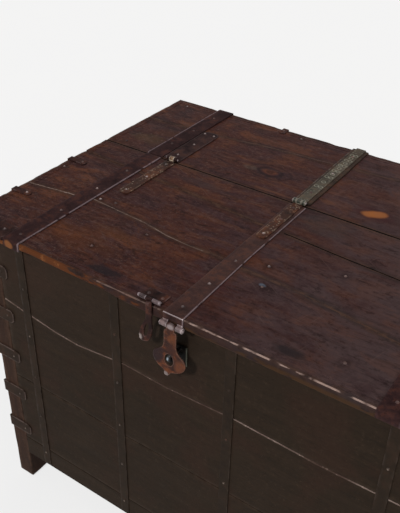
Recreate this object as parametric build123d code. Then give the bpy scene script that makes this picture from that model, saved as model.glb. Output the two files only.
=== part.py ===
from build123d import *
import os

# Iron-bound wooden storage chest on four post feet. Millimetres.
# Origin: on the floor, at the middle of the footprint. +X right, +Y to the back, +Z up.
# The front part of the top is the lid, hinged on three strap hinges to the fixed rear part.

# ---- driving sizes -------------------------------------------------------------------------
chest_length = 1120.0        # over the top, left to right
chest_depth = 800.0          # over the top, front to back
chest_height = 800.0         # floor to the face of the top
top_thickness = 22.0
top_overhang = 26.0          # top past the walls, on all four sides
lid_depth = 475.0            # front edge of the lid to the joint
joint_gap = 2.0              # open line between lid and rear top
seam_gap = 0.6               # between neighbouring boards of the top

post_width = 47.0            # along X
post_depth = 60.0            # along Y
wall_thickness = 24.0
tongue_length = 12.0         # board ends let into the posts
tongue_thickness = 10.0
foot_height = 96.0           # floor to the underside of the rails
rail_height = 60.0
rail_thickness = 34.0        # the part thicker than the wall is the ledge under the floor
upper_board_height = 186.0   # the two boards below it share the rest of the wall
floor_thickness = 20.0
floor_board_count = 6
foot_chamfer = 4.0

cross_rail_width = 60.0      # under the joint of the top
cross_rail_height = 40.0
cross_rail_housing = 8.0     # let into the end walls
cross_rail_lap = 20.0        # how far it reaches in front of the joint, under the lid
batten_width = 60.0
batten_thickness = 18.0
batten_clearance = 12.0      # to the front wall and to the cross rail
batten_chamfer = 4.0

rim_inset = 18.0             # worked line along the outer edges of the top
rim_groove = 2.0             # its width
rim_depth = 1.0
arris_radius = 4.0

strap_width = 44.0
strap_thickness = 4.0
strap_inset = 154.0          # outer straps: end of the chest to the strap's centre line
strap_drop = 18.0            # what the outer straps turn down over the edge
strap_bend = 5.0             # outer radius of the turn
strap_joint_clearance = 1.5  # outer straps to the joint
strap_barrel_clearance = 2.0 # centre straps to the hinge barrel

band_width = 33.0            # upright bands on the walls
band_thickness = 2.5
band_top_clearance = 2.0     # below the top
outer_band_inset = 109.0     # outer face of the end wall to the middle of the outer bands
inner_bands = (-0.145, 0.096)      # the two between them, from the middle, as shares of the length
end_band_share = 0.225             # bands of the end walls, from the middle, as a share of the depth

corner_strap_height = 34.0
corner_strap_leg = 70.0
corner_strap_first = 120.0   # face of the top to the first corner strap
corner_strap_pitch = 122.0
corner_strap_count = 5
corner_cut = 7.0             # clipped corners at the ends of corner straps and clips

hinge_inset = 209.0          # outer hinges: end of the chest to the barrel's middle
barrel_radius = 7.0
barrel_rise = 8.0            # axis above the face of the top
barrel_length = 30.0
middle_knuckle = 12.0
knuckle_gap = 0.5
pin_radius = 2.5
pin_clearance = 0.05
pin_head = 1.6               # its thickness, and how far it stands out round the pin
pin_head_sides = 6
pin_end = 1.0                # plain end past the barrel
leaf_thickness = 3.0
leaf_clearance = 0.6         # leaf body to the other leaf's knuckles
leaf_cut = 0.2               # clipped corners at a leaf's far end, as a share of its width
web_drop = 1.6               # pin's axis to the top of the web between knuckle and leaf
side_lid_leaf = (26.0, 190.0)      # width, length
side_rear_leaf = (46.0, 188.0)
side_leaf_gap = 2.0                # outer strap to the wide rear leaf
centre_hinge_x = -5.0               # the middle hinge sits a little to the left
centre_lid_leaf = (24.0, 172.0)
centre_rear_leaf_width = 24.0
centre_leaf_drop = 16.0            # turned down over the back edge

hasp_axis_drop = 20.0        # face of the top to the hasp's pin
hasp_barrel_radius = 5.5
hasp_barrel_length = 50.0
hasp_knuckle = 18.0
hasp_pin_radius = 2.2
hasp_thickness = 3.0
hasp_shoulder = 3.5          # below the barrel, where the plate narrows to the neck
hasp_neck = 28.0
hasp_neck_end = 46.0         # pin to the start of the flare
hasp_flare = 19.0            # radius of the hollow flare
hasp_hole_drop = 80.0        # pin to the middle of the hole
hasp_hole = (20.0, 30.0)
hasp_pear = ((37.0, 80.0), (29.6, 93.0), (18.5, 105.7), (7.0, 112.0))   # half width, below the pin
hasp_length = 122.0          # pin to the nose
hasp_nose = 5.0              # radius

plate_width = 26.0           # staple plate on the front wall
plate_height = 46.0
plate_drop = 10.0            # staple's middle to the plate's middle
plate_thickness = 3.0
staple_bar = 7.0             # side of the square bar
staple_bend = 7.0            # radius of its bend, to the middle of the bar
staple_gap = 2.5             # staple to the hanging hasp
staple_short = 4.0           # ends of the legs to the inner face of the wall

link_centre = -59.0          # slotted hasp, along X
link_axis_inset = 7.0        # pin behind the front edge
link_axis_rise = 7.0         # pin above the face of the lid
link_barrel_radius = 5.0
link_barrel_length = 48.0
link_knuckle = 14.0
link_pin_radius = 2.2
link_width = 13.0
link_thickness = 3.5
link_bar_end = 34.0          # face of the lid to the start of the loop
link_loop = (32.0, 58.0)     # over the outside of the loop
link_loop_shoulder = 14.1    # half width of the loop on its way out from the bar
link_slot = (12.0, 38.0)
link_stand_off = 3.0         # bar in front of the lid's edge
link_leaf_length = 34.0
link_leaf_thickness = 2.5

corner_plate_depth = 45.0
corner_plate_thickness = 2.5
corner_plate_gap = 1.6       # to the outer strap
clip_width = 16.0
clip_length = 50.0
clip_thickness = 2.5
clip_drop = 14.0
clip_places = (0.335, 0.722)       # behind the front edge, as shares of the lid's depth
back_clip_share = 0.195            # back clips, from the middle, as a share of the length

nail_head_radius = 4.6
nail_head_sides = 4
nail_head_height = 2.4
nail_taper = 42.0
nail_shank = 3.0
nail_length = 17.0           # under the head
batten_nail_length = 33.0    # through strap and board into a batten

# ---- places that follow from the sizes -------------------------------------------------------
half_length = chest_length / 2
half_depth = chest_depth / 2
wall_x = half_length - top_overhang
wall_y = half_depth - top_overhang
under_top = chest_height - top_thickness
joint_y = lid_depth + joint_gap / 2 - half_depth
lid_back = joint_y - joint_gap / 2
rear_front = joint_y + joint_gap / 2
wall_bottom = foot_height + rail_height
floor_top = wall_bottom + floor_thickness
inner_x = wall_x - wall_thickness
inner_y = wall_y - wall_thickness
tongue_inset = (wall_thickness - tongue_thickness) / 2
strap_offset = half_length - strap_inset
hinge_offset = half_length - hinge_inset
strap_top = chest_height + strap_thickness
axis_z = chest_height + barrel_rise
hasp_axis_y = -half_depth - hasp_barrel_radius - knuckle_gap
hasp_axis_z = chest_height - hasp_axis_drop
hasp_face_y = hasp_axis_y - hasp_barrel_radius
link_axis_y = -half_depth + link_axis_inset
link_axis_z = chest_height + link_axis_rise

front_bands_x = (
    outer_band_inset - wall_x, inner_bands[0] * chest_length,
    inner_bands[1] * chest_length, wall_x - outer_band_inset)
end_bands_y = (-end_band_share * chest_depth, end_band_share * chest_depth)
back_clip_x = back_clip_share * chest_length


def lid_y(share):
    """A place on the lid, as a share of its depth behind the front edge."""
    return -half_depth + share * lid_depth


def rear_y(share):
    """A place on the rear top, as a share of its depth behind the joint."""
    return rear_front + share * (half_depth - rear_front)


# Board seams of the top from left to right: share of the length, then of the depth by lid_y or rear_y.
front_seam = [(0, 0.421), (0.143, 0.476), (0.401, 0.421), (0.639, 0.406), (1, 0.307)]
middle_seam = [(0, 0.842), (1, 0.674)]
rear_seam = [(0, 0.529), (1, 0.830)]


def block(x0, x1, y0, y1, z0, z1):
    """A box from its lowest to its highest corner."""
    return Pos((x0 + x1) / 2, (y0 + y1) / 2, (z0 + z1) / 2) * Box(x1 - x0, y1 - y0, z1 - z0)


def barrel(radius, length, x, y, z):
    """A round bar along X, centred on x."""
    return Pos(x, y, z) * Rot(0, 90, 0) * Cylinder(radius, length)


def side_profile(points, x, width):
    """A (y, z) outline as a prism along X, centred on x."""
    outline = make_face(Polyline(*[(p[0], p[1]) for p in points], close=True))
    return Pos(x - width / 2, 0, 0) * extrude(Plane.YZ * outline, width)


def write(name, shape):
    """One file for each named piece."""
    shape.label = name
    export_step(shape, "parts/" + name + ".step")


# ---- nails -----------------------------------------------------------------------------------
facing = {"up": Rot(0, 0, 0), "front": Rot(90, 0, 0)}


def nail_place(x, y, z, face="up", length=nail_length):
    """Where a nail's head sits, and the length of its shank."""
    return Pos(x, y, z) * facing[face], length


def shank(length):
    return Pos(0, 0, -length / 2) * Box(nail_shank, nail_shank, length)


def nail_set(places):
    """The hand-made nails of one group, and the holes that their shanks need."""
    head = extrude(RegularPolygon(nail_head_radius, nail_head_sides), nail_head_height, taper=nail_taper)
    nails = [place * (head + shank(length)) for place, length in places]
    holes = [place * shank(length) for place, length in places]
    return nails, holes


def drilled(piece, holes):
    """The piece with a hole for every nail that reaches into it."""
    box = piece.bounding_box()
    near = []
    for hole in holes:
        at = hole.bounding_box()
        apart = (at.min.X >= box.max.X or at.max.X <= box.min.X
                 or at.min.Y >= box.max.Y or at.max.Y <= box.min.Y
                 or at.min.Z >= box.max.Z or at.max.Z <= box.min.Z)
        if not apart:
            near.append(hole)
    return piece - near if near else piece


# ---- carcass ---------------------------------------------------------------------------------
def span(a, b):
    return (min(a, b), max(a, b))


def corner_post(side, end):
    """A post with a groove for each wall. side is -1 left or 1 right, end is -1 front or 1 back."""
    x = side * wall_x
    y = end * wall_y
    x_inner = side * (wall_x - post_width)
    y_inner = end * (wall_y - post_depth)
    post = block(*span(x, x_inner), *span(y, y_inner), 0, under_top)
    post = chamfer(post.faces().sort_by(Axis.Z)[0].edges(), foot_chamfer)
    long_groove = block(
        *span(x_inner, x_inner + side * tongue_length),
        *span(y - end * tongue_inset, y - end * (tongue_inset + tongue_thickness)),
        foot_height, under_top)
    end_groove = block(
        *span(x - side * tongue_inset, x - side * (tongue_inset + tongue_thickness)),
        *span(y_inner, y_inner + end * tongue_length),
        foot_height, under_top)
    return post - long_groove - end_groove


def long_wall_piece(end, thickness, z0, z1):
    """A board or rail of the front (-1) or back (1) wall, tongued into the posts."""
    y = end * wall_y
    reach = wall_x - post_width
    board = block(-reach, reach, *span(y, y - end * thickness), z0, z1)
    tongue = block(
        -reach - tongue_length, reach + tongue_length,
        *span(y - end * tongue_inset, y - end * (tongue_inset + tongue_thickness)), z0, z1)
    return board + tongue


def end_wall_piece(side, thickness, z0, z1):
    """A board or rail of the left (-1) or right (1) wall, tongued into the posts."""
    x = side * wall_x
    reach = wall_y - post_depth
    board = block(*span(x, x - side * thickness), -reach, reach, z0, z1)
    tongue = block(
        *span(x - side * tongue_inset, x - side * (tongue_inset + tongue_thickness)),
        -reach - tongue_length, reach + tongue_length, z0, z1)
    return board + tongue


upper_seam = under_top - upper_board_height
lower_seam = (upper_seam + wall_bottom) / 2
wall_levels = {
    "upper": (upper_seam, under_top),
    "middle": (lower_seam, upper_seam),
    "lower": (wall_bottom, lower_seam),
}
cross_rail_y = (joint_y - cross_rail_lap, joint_y - cross_rail_lap + cross_rail_width)


def cross_rail():
    """The rail under the joint of the top, let into both end walls."""
    reach = inner_x + cross_rail_housing
    return block(-reach, reach, *cross_rail_y, under_top - cross_rail_height, under_top)


def floor_boards():
    """Boards from front to back on the ledges of the rails, notched round the posts."""
    width = 2 * inner_x / floor_board_count
    boards = []
    for i in range(floor_board_count):
        x0 = -inner_x + i * width + seam_gap
        x1 = -inner_x + (i + 1) * width - seam_gap
        board = block(x0, x1, -inner_y, inner_y, wall_bottom, floor_top)
        for side in (-1, 1):
            for end in (-1, 1):
                x = side * (wall_x - post_width - seam_gap)
                y = end * (wall_y - post_depth - seam_gap)
                board -= block(*span(x, side * wall_x), *span(y, end * wall_y), wall_bottom, floor_top)
        boards.append(board)
    return boards


# ---- top -------------------------------------------------------------------------------------
def line_at(y):
    """A straight line across the whole top."""
    return [(-half_length, y), (half_length, y)]


def seam_side(seam, place, shift):
    """A seam line moved back or forward by half the gap."""
    return [(x * chest_length - half_length, place(y) + shift * seam_gap / 2) for x, y in seam]


def rim_line():
    """The worked line that runs round the top inside its outer edges."""
    outer = Rectangle(chest_length - 2 * rim_inset, chest_depth - 2 * rim_inset)
    inset = 2 * (rim_inset + rim_groove)
    inner = Rectangle(chest_length - inset, chest_depth - inset)
    return Pos(0, 0, chest_height - rim_depth) * extrude(outer - inner, 2 * rim_depth)


def top_board(front, back):
    """A board of the top between two seam lines, both from left to right."""
    outline = make_face(Polyline(*front, *back[::-1], close=True))
    board = Pos(0, 0, under_top) * extrude(outline, top_thickness) - rim_line()

    def on_outer_arris(edge):
        middle = edge.center()
        at_top = abs(middle.Z - chest_height) < seam_gap
        at_end = half_length - abs(middle.X) < seam_gap
        at_front_or_back = half_depth - abs(middle.Y) < seam_gap
        return at_top and (at_end or at_front_or_back)

    return fillet(board.edges().filter_by(on_outer_arris), arris_radius)


def lid_battens():
    """Battens across the lid boards, under the three straps."""
    y0 = -inner_y + batten_clearance
    y1 = cross_rail_y[0] - batten_clearance
    battens = []
    for x in (-strap_offset, 0, strap_offset):
        batten = block(
            x - batten_width / 2, x + batten_width / 2, y0, y1, under_top - batten_thickness, under_top)
        battens.append(chamfer(batten.faces().sort_by(Axis.Z)[0].edges(), batten_chamfer))
    return battens


# ---- straps and plates -------------------------------------------------------------------------
def bent_strap(x, width, thickness, z, start, end_side, drop, bend):
    """A flat bar on the top that turns down over the front (-1) or back (1) edge."""
    edge = end_side * half_depth
    outer = edge + end_side * (z + thickness - chest_height)
    inner = edge + end_side * (z - chest_height)
    low = chest_height - drop
    outline = [
        (start, z), (start, z + thickness), (outer, z + thickness),
        (outer, low), (inner, low), (inner, z)]
    bar = side_profile(outline, x, width)
    turn = bar.edges().filter_by(Axis.X).sort_by(lambda e: e.center().Z + end_side * e.center().Y)[-1]
    return fillet(turn, bend)


def edge_strap(x, start, end_side):
    """A strap on the boards that turns down over the front (-1) or back (1) edge."""
    return bent_strap(
        x, strap_width, strap_thickness, chest_height, start, end_side, strap_drop, strap_bend)


def hasp_knuckle_notch():
    """The space in the centre strap for the hasp's own knuckle and neck."""
    half = hasp_knuckle / 2 + knuckle_gap
    top = hasp_axis_z + hasp_barrel_radius + hasp_shoulder
    return block(-half, half, hasp_axis_y - 2 * hasp_barrel_radius, -half_depth, 0, top)


def centre_lid_strap():
    """The centre strap of the lid, ending in the knuckles of the hasp's hinge."""
    start = joint_y - barrel_radius - strap_barrel_clearance
    strap = bent_strap(0, strap_width, strap_thickness, chest_height, start, -1, hasp_axis_drop, strap_bend)
    knuckles = barrel(hasp_barrel_radius, hasp_barrel_length, 0, hasp_axis_y, hasp_axis_z)
    bore = barrel(hasp_pin_radius + pin_clearance, 2 * hasp_barrel_length, 0, hasp_axis_y, hasp_axis_z)
    return strap + knuckles - hasp_knuckle_notch() - bore


def pin(radius, length, x, y, z):
    """A pin with a hammered head at its left end, its right end just out of the barrel."""
    head = extrude(RegularPolygon(radius + pin_head, pin_head_sides), -pin_head)
    head = Pos(x - length / 2, y, z) * Rot(0, 90, 0) * head
    return head + barrel(radius, length + pin_end, x + pin_end / 2, y, z)


def clipped_plate(length, height, thickness):
    """A plate on the XZ plane from x = 0, its far corners clipped, its face at y = -thickness."""
    plate = block(0, length, -thickness, 0, -height / 2, height / 2)
    far = plate.edges().filter_by(Axis.Y).sort_by(Axis.X)[-2:]
    return chamfer(far, min(corner_cut, height / 3))


def corner_strap(side, end, z):
    """An angle strap with clipped ends, bent round a corner post."""
    t = band_thickness
    leg = clipped_plate(corner_strap_leg + t, corner_strap_height, t)
    front_leg = Pos(-wall_x - t, -wall_y, z) * leg
    side_leg = Pos(-wall_x, -wall_y - t, z) * Rot(0, 0, 90) * leg.mirror(Plane.XZ)
    strap = front_leg + side_leg
    if side > 0:
        strap = strap.mirror(Plane.YZ)
    if end > 0:
        strap = strap.mirror(Plane.XZ)
    return strap


corner_strap_levels = [
    chest_height - corner_strap_first - i * corner_strap_pitch for i in range(corner_strap_count)]
band_z = (foot_height + foot_chamfer, under_top - band_top_clearance)


def long_wall_band(end, x):
    face = end * wall_y
    return block(x - band_width / 2, x + band_width / 2, *span(face, face + end * band_thickness), *band_z)


def end_wall_band(side, y):
    face = side * wall_x
    return block(*span(face, face + side * band_thickness), y - band_width / 2, y + band_width / 2, *band_z)


def corner_plate(side):
    """A plate over the lid's front corner, turned down over both edges."""
    t = corner_plate_thickness
    inner = strap_offset + strap_width / 2 + corner_plate_gap
    x = side * half_length
    plate = block(
        *span(x + side * t, side * inner), -half_depth - t, -half_depth + corner_plate_depth,
        chest_height - clip_drop, chest_height + t)
    return plate - block(*span(x, 0), -half_depth, 0, 0, chest_height)


def edge_clip(side, y):
    """A small strap over the lid's left or right edge, its inner end clipped."""
    t = clip_thickness
    flat = Rot(-90, 0, 0) * clipped_plate(clip_length + t, clip_width, t).mirror(Plane.XZ)
    clip = Pos(-half_length - t, y, chest_height) * flat.mirror(Plane.XY)
    clip += block(
        -half_length - t, -half_length, y - clip_width / 2, y + clip_width / 2,
        chest_height - clip_drop, chest_height + t)
    return clip if side < 0 else clip.mirror(Plane.YZ)


def back_clip(x):
    """A small strap over the back edge of the top."""
    t = clip_thickness
    flat = block(
        x - clip_width / 2, x + clip_width / 2, half_depth - clip_length / 2, half_depth + t,
        chest_height, chest_height + t)
    return flat + block(
        x - clip_width / 2, x + clip_width / 2, half_depth, half_depth + t,
        chest_height - clip_drop, chest_height + t)


# ---- lid hinges --------------------------------------------------------------------------------
def hinge_bore(x):
    return barrel(pin_radius + pin_clearance, 2 * barrel_length, x, joint_y, axis_z)


def knuckle_spans(owner):
    """(middle, length) of the knuckles that a leaf has: one on the lid's leaf, two on the rear one."""
    if owner < 0:
        return [(0, middle_knuckle)]
    length = (barrel_length - middle_knuckle) / 2 - knuckle_gap
    offset = (barrel_length - length) / 2
    return [(-offset, length), (offset, length)]


def hinge_leaf(owner, x, leaf_x, width, length, z, drop=0):
    """A strap-hinge leaf with its knuckles. owner is -1 for the lid and 1 for the rear top."""
    near = joint_y + owner * (barrel_radius + leaf_clearance)
    far = joint_y + owner * length
    if drop:
        leaf = bent_strap(leaf_x, width, leaf_thickness, z, near, owner, drop, strap_bend)
    else:
        leaf = block(leaf_x - width / 2, leaf_x + width / 2, *span(near, far), z, z + leaf_thickness)
        ends = leaf.edges().filter_by(Axis.Z).sort_by(Axis.Y)
        leaf = chamfer(ends[:2] if owner < 0 else ends[-2:], leaf_cut * width)
    for offset, knuckle in knuckle_spans(owner):
        leaf += barrel(barrel_radius, knuckle, x + offset, joint_y, axis_z)
        leaf += block(
            x + offset - knuckle / 2, x + offset + knuckle / 2,
            *span(joint_y, near), z, axis_z - web_drop)
    return leaf - hinge_bore(x)


def side_hinge(side):
    """Lid leaf and rear leaf of an outer hinge, which lie on the boards beside the strap."""
    x = side * hinge_offset
    rear_outer = strap_offset - strap_width / 2 - side_leaf_gap
    rear_x = side * (rear_outer - side_rear_leaf[0] / 2)
    lid_leaf = hinge_leaf(-1, x, x, *side_lid_leaf, chest_height)
    rear_leaf = hinge_leaf(1, x, rear_x, *side_rear_leaf, chest_height)
    return lid_leaf, rear_leaf


def centre_hinge():
    """Lid leaf and rear leaf of the centre hinge, which lie on the centre strap."""
    x = centre_hinge_x
    lid_leaf = hinge_leaf(-1, x, x, *centre_lid_leaf, strap_top)
    rear_leaf = hinge_leaf(1, x, x, centre_rear_leaf_width, 0, strap_top, drop=centre_leaf_drop)
    return lid_leaf, rear_leaf


# ---- hasp and staple -----------------------------------------------------------------------------
def hasp():
    """The pear-shaped hasp that hangs from the centre strap."""
    eye = hasp_knuckle / 2
    neck = hasp_neck / 2
    shoulder = -hasp_barrel_radius - hasp_shoulder
    flare_start = (neck, -hasp_neck_end)
    flare_end = (neck + hasp_flare, -hasp_neck_end - hasp_flare)
    widest, belly, lower, nose_root = [(x, -drop) for x, drop in hasp_pear]
    nose_start = (hasp_nose, -hasp_length + hasp_nose)
    half = [
        Line((0, 0), (eye, 0)),
        Line((eye, 0), (eye, shoulder)),
        Line((eye, shoulder), (neck, shoulder)),
        Line((neck, shoulder), flare_start),
        RadiusArc(flare_start, flare_end, hasp_flare),
        ThreePointArc(flare_end, widest, belly),
        ThreePointArc(belly, lower, nose_root),
        Line(nose_root, nose_start),
        RadiusArc(nose_start, (0, -hasp_length), -hasp_nose),
    ]
    other = [edge.mirror(Plane.YZ) for edge in half]
    outline = make_face(Wire(half + other))
    outline -= Pos(0, -hasp_hole_drop) * Ellipse(hasp_hole[0] / 2, hasp_hole[1] / 2)
    sheet = Plane((0, hasp_face_y + hasp_thickness, hasp_axis_z), x_dir=(1, 0, 0), z_dir=(0, -1, 0))
    plate = extrude(sheet * outline, hasp_thickness)
    knuckle = barrel(hasp_barrel_radius, hasp_knuckle, 0, hasp_axis_y, hasp_axis_z)
    bore = barrel(hasp_pin_radius + pin_clearance, hasp_barrel_length, 0, hasp_axis_y, hasp_axis_z)
    return plate + knuckle - bore


staple_z = hasp_axis_z - hasp_hole_drop
staple_tip = hasp_face_y + hasp_thickness + staple_gap
staple_centre_y = staple_tip + staple_bar / 2 + staple_bend
staple_end_y = -inner_y - staple_short


def staple_shape():
    """The upright bent bar of the staple, with both legs in the wall."""
    top = staple_z + staple_bend
    low = staple_z - staple_bend
    bend_top = (0, staple_centre_y, top)
    bend_low = (0, staple_centre_y, low)
    path = Wire([
        Line((0, staple_end_y, top), bend_top),
        ThreePointArc(bend_top, (0, staple_centre_y - staple_bend, staple_z), bend_low),
        Line(bend_low, (0, staple_end_y, low)),
    ])
    section = Plane((0, staple_end_y, top), z_dir=(0, -1, 0)) * Rectangle(staple_bar, staple_bar)
    return sweep(section, path=path)


plate_low = staple_z - plate_drop - plate_height / 2


def staple_plate():
    return block(
        -plate_width / 2, plate_width / 2, -wall_y - plate_thickness, -wall_y,
        plate_low, plate_low + plate_height)


# ---- slotted hasp ----------------------------------------------------------------------------------
def link_bore():
    radius = link_pin_radius + pin_clearance
    return barrel(radius, 2 * link_barrel_length, link_centre, link_axis_y, link_axis_z)


def slotted_hasp():
    """A bar bent over the lid's front edge that opens into a slotted loop."""
    half = link_width / 2
    loop_x = link_loop[0] / 2
    start = -link_bar_end
    low = start - link_loop[1]
    turn = low + loop_x
    shoulder_z = (start + turn) / 2
    outline = [
        Line((-half, link_thickness), (half, link_thickness)),
        Line((half, link_thickness), (half, start)),
        ThreePointArc((half, start), (link_loop_shoulder, shoulder_z), (loop_x, turn)),
        ThreePointArc((loop_x, turn), (0, low), (-loop_x, turn)),
        ThreePointArc((-loop_x, turn), (-link_loop_shoulder, shoulder_z), (-half, start)),
        Line((-half, start), (-half, link_thickness)),
    ]
    slot_middle = low + (loop_x - link_slot[0] / 2) + link_slot[1] / 2
    flat = make_face(Wire(outline))
    flat -= Pos(0, slot_middle) * Rot(0, 0, 90) * SlotOverall(link_slot[1], link_slot[0])
    back_y = -half_depth - link_stand_off
    sheet = Plane((link_centre, back_y, chest_height), x_dir=(1, 0, 0), z_dir=(0, -1, 0))
    bar = extrude(sheet * flat, link_thickness)
    arm = block(
        link_centre - half, link_centre + half, back_y - link_thickness, link_axis_y,
        link_axis_z - link_barrel_radius, link_axis_z - link_barrel_radius + link_thickness)
    knuckle = barrel(link_barrel_radius, link_knuckle, link_centre, link_axis_y, link_axis_z)
    return bar + arm + knuckle - link_bore()


def slotted_hasp_leaf():
    """The small leaf on the lid that carries the slotted hasp between two knuckles."""
    near = link_axis_y + link_barrel_radius + leaf_clearance
    half = link_barrel_length / 2
    leaf = block(
        link_centre - half, link_centre + half, near, link_axis_y + link_leaf_length,
        chest_height, chest_height + link_leaf_thickness)
    side = half - link_knuckle / 2 - knuckle_gap
    for sign in (-1, 1):
        x = link_centre + sign * (half - side / 2)
        leaf += barrel(link_barrel_radius, side, x, link_axis_y, link_axis_z)
        leaf += block(x - side / 2, x + side / 2, link_axis_y, near, chest_height, link_axis_z - web_drop)
    return leaf - link_bore()


# ---- where the nails go ------------------------------------------------------------------------------
strap_nails_lid = (0.059, 0.31, 0.556, 0.779)           # shares, as by lid_y
centre_strap_nails = (0.059, 0.238, 0.432)
strap_nails_rear = (0.225, 0.519, 0.815)                # shares, as by rear_y
centre_rear_nails = (0.167, 0.506, 0.846)
centre_leaf_nails = (156.0, 85.0, 28.0)                 # in front of the joint
side_lid_leaf_nails = (176.0, 101.0, 26.0)
side_rear_leaf_nails = ((0.0, 34.0), (0.0, 103.0), (-14.0, 172.0), (14.0, 172.0))   # across, behind it
plate_nails = (7.5, 6.5)         # from the middle, above the plate's lower end
link_leaf_nail_inset = 15.0


def strap_nail(x, y, z):
    """A nail in a lid strap, long enough to hold the batten where one lies below."""
    over_batten = -inner_y + batten_clearance < y < cross_rail_y[0] - batten_clearance
    return nail_place(x, y, z, length=batten_nail_length if over_batten else nail_length)


def lid_nail_places():
    places = []
    for side in (-1, 1):
        places += [strap_nail(side * strap_offset, lid_y(share), strap_top) for share in strap_nails_lid]
        for y in side_lid_leaf_nails:
            places.append(nail_place(side * hinge_offset, joint_y - y, chest_height + leaf_thickness))
        x = link_centre + side * (link_barrel_length / 2 - link_knuckle / 2)
        y = link_axis_y + link_leaf_length - link_leaf_nail_inset
        places.append(nail_place(x, y, chest_height + link_leaf_thickness))
    places += [strap_nail(0, lid_y(share), strap_top) for share in centre_strap_nails]
    x = centre_hinge_x
    places += [strap_nail(x, joint_y - y, strap_top + leaf_thickness) for y in centre_leaf_nails]
    return places


def rear_nail_places():
    places = []
    for side in (-1, 1):
        places += [nail_place(side * strap_offset, rear_y(share), strap_top) for share in strap_nails_rear]
        leaf_x = side * (strap_offset - strap_width / 2 - side_leaf_gap - side_rear_leaf[0] / 2)
        for dx, y in side_rear_leaf_nails:
            places.append(nail_place(leaf_x + dx, joint_y + y, chest_height + leaf_thickness))
    x, z = centre_hinge_x, strap_top + leaf_thickness
    places += [nail_place(x, rear_y(share), z) for share in centre_rear_nails]
    return places


def plate_nail_places():
    """Two nails side by side, below the staple."""
    x, z = plate_nails[0], plate_low + plate_nails[1]
    return [nail_place(side * x, -wall_y - plate_thickness, z, "front") for side in (-1, 1)]


# ---- the pieces, by name -------------------------------------------------------------------------------
def lid_pieces():
    pieces = {
        "lid_board_front": top_board(line_at(-half_depth), seam_side(front_seam, lid_y, -1)),
        "lid_board_middle": top_board(
            seam_side(front_seam, lid_y, 1), seam_side(middle_seam, lid_y, -1)),
        "lid_board_rear": top_board(seam_side(middle_seam, lid_y, 1), line_at(lid_back)),
        "lid_battens": lid_battens(),
        "lid_strap_centre": centre_lid_strap(),
        "lid_corner_plates": [corner_plate(side) for side in (-1, 1)],
        "lid_edge_clips": [edge_clip(side, lid_y(share)) for side in (-1, 1) for share in clip_places],
        "slotted_hasp_leaf": slotted_hasp_leaf(),
        "slotted_hasp_pin": pin(link_pin_radius, link_barrel_length, link_centre, link_axis_y, link_axis_z),
        "hasp_pin": pin(hasp_pin_radius, hasp_barrel_length, 0, hasp_axis_y, hasp_axis_z),
    }
    for name, side in (("left", -1), ("right", 1)):
        start = lid_back - strap_joint_clearance
        pieces["lid_strap_" + name] = edge_strap(side * strap_offset, start, -1)
        pieces["lid_hinge_leaf_" + name] = side_hinge(side)[0]
    pieces["lid_hinge_leaf_centre"] = centre_hinge()[0]
    return pieces


def top_pieces():
    pieces = {
        "rear_top_board_front": top_board(line_at(rear_front), seam_side(rear_seam, rear_y, -1)),
        "rear_top_board_back": top_board(seam_side(rear_seam, rear_y, 1), line_at(half_depth)),
        "top_cross_rail": cross_rail(),
        "back_clips": [back_clip(side * back_clip_x) for side in (-1, 1)],
        "rear_hinge_leaf_centre": centre_hinge()[1],
    }
    side_start = rear_front + strap_joint_clearance
    centre_start = joint_y + barrel_radius + strap_barrel_clearance
    for name, side in (("left", -1), ("centre", 0), ("right", 1)):
        start = side_start if side else centre_start
        pieces["rear_strap_" + name] = edge_strap(side * strap_offset, start, 1)
        if side:
            pieces["rear_hinge_leaf_" + name] = side_hinge(side)[1]
    hinge_places = (-hinge_offset, centre_hinge_x, hinge_offset)
    pieces["lid_hinge_pins"] = [pin(pin_radius, barrel_length, x, joint_y, axis_z) for x in hinge_places]
    return pieces


def carcass_pieces():
    pieces = {}
    housing = cross_rail()
    for end_name, end in (("front", -1), ("back", 1)):
        for side_name, side in (("left", -1), ("right", 1)):
            pieces["corner_post_" + end_name + "_" + side_name] = corner_post(side, end)
        pieces["bottom_rail_" + end_name] = long_wall_piece(end, rail_thickness, foot_height, wall_bottom)
        for level, (z0, z1) in wall_levels.items():
            pieces[end_name + "_board_" + level] = long_wall_piece(end, wall_thickness, z0, z1)
        pieces[end_name + "_bands"] = [long_wall_band(end, x) for x in front_bands_x]
        pieces["corner_straps_" + end_name] = [
            corner_strap(side, end, z) for side in (-1, 1) for z in corner_strap_levels]
    for side_name, side in (("left", -1), ("right", 1)):
        pieces["bottom_rail_" + side_name] = end_wall_piece(side, rail_thickness, foot_height, wall_bottom)
        for level, (z0, z1) in wall_levels.items():
            pieces[side_name + "_board_" + level] = end_wall_piece(side, wall_thickness, z0, z1) - housing
    pieces["end_bands"] = [end_wall_band(side, y) for side in (-1, 1) for y in end_bands_y]
    pieces["floor_boards"] = floor_boards()
    pieces["staple_plate"] = staple_plate() - staple_shape()
    pieces["front_board_upper"] -= staple_shape()
    pieces["staple"] = staple_shape()
    return pieces


def export_nailed(pieces, nails_name, places):
    """Drills a set of pieces for its nails and writes the pieces and the nails."""
    nails, holes = nail_set(places)
    write(nails_name, Compound(children=nails))
    for name, piece in pieces.items():
        if isinstance(piece, list):
            write(name, Compound(children=[drilled(solid, holes) for solid in piece]))
        else:
            write(name, drilled(piece, holes))


def main():
    os.makedirs("parts", exist_ok=True)
    export_nailed(lid_pieces(), "lid_nails", lid_nail_places())
    export_nailed(top_pieces(), "rear_top_nails", rear_nail_places())
    export_nailed(carcass_pieces(), "staple_plate_nails", plate_nail_places())
    write("hasp", hasp())
    write("slotted_hasp", slotted_hasp())


main()
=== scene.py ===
import math

import bmesh
import bpy
from mathutils import Matrix, Vector, noise


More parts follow.
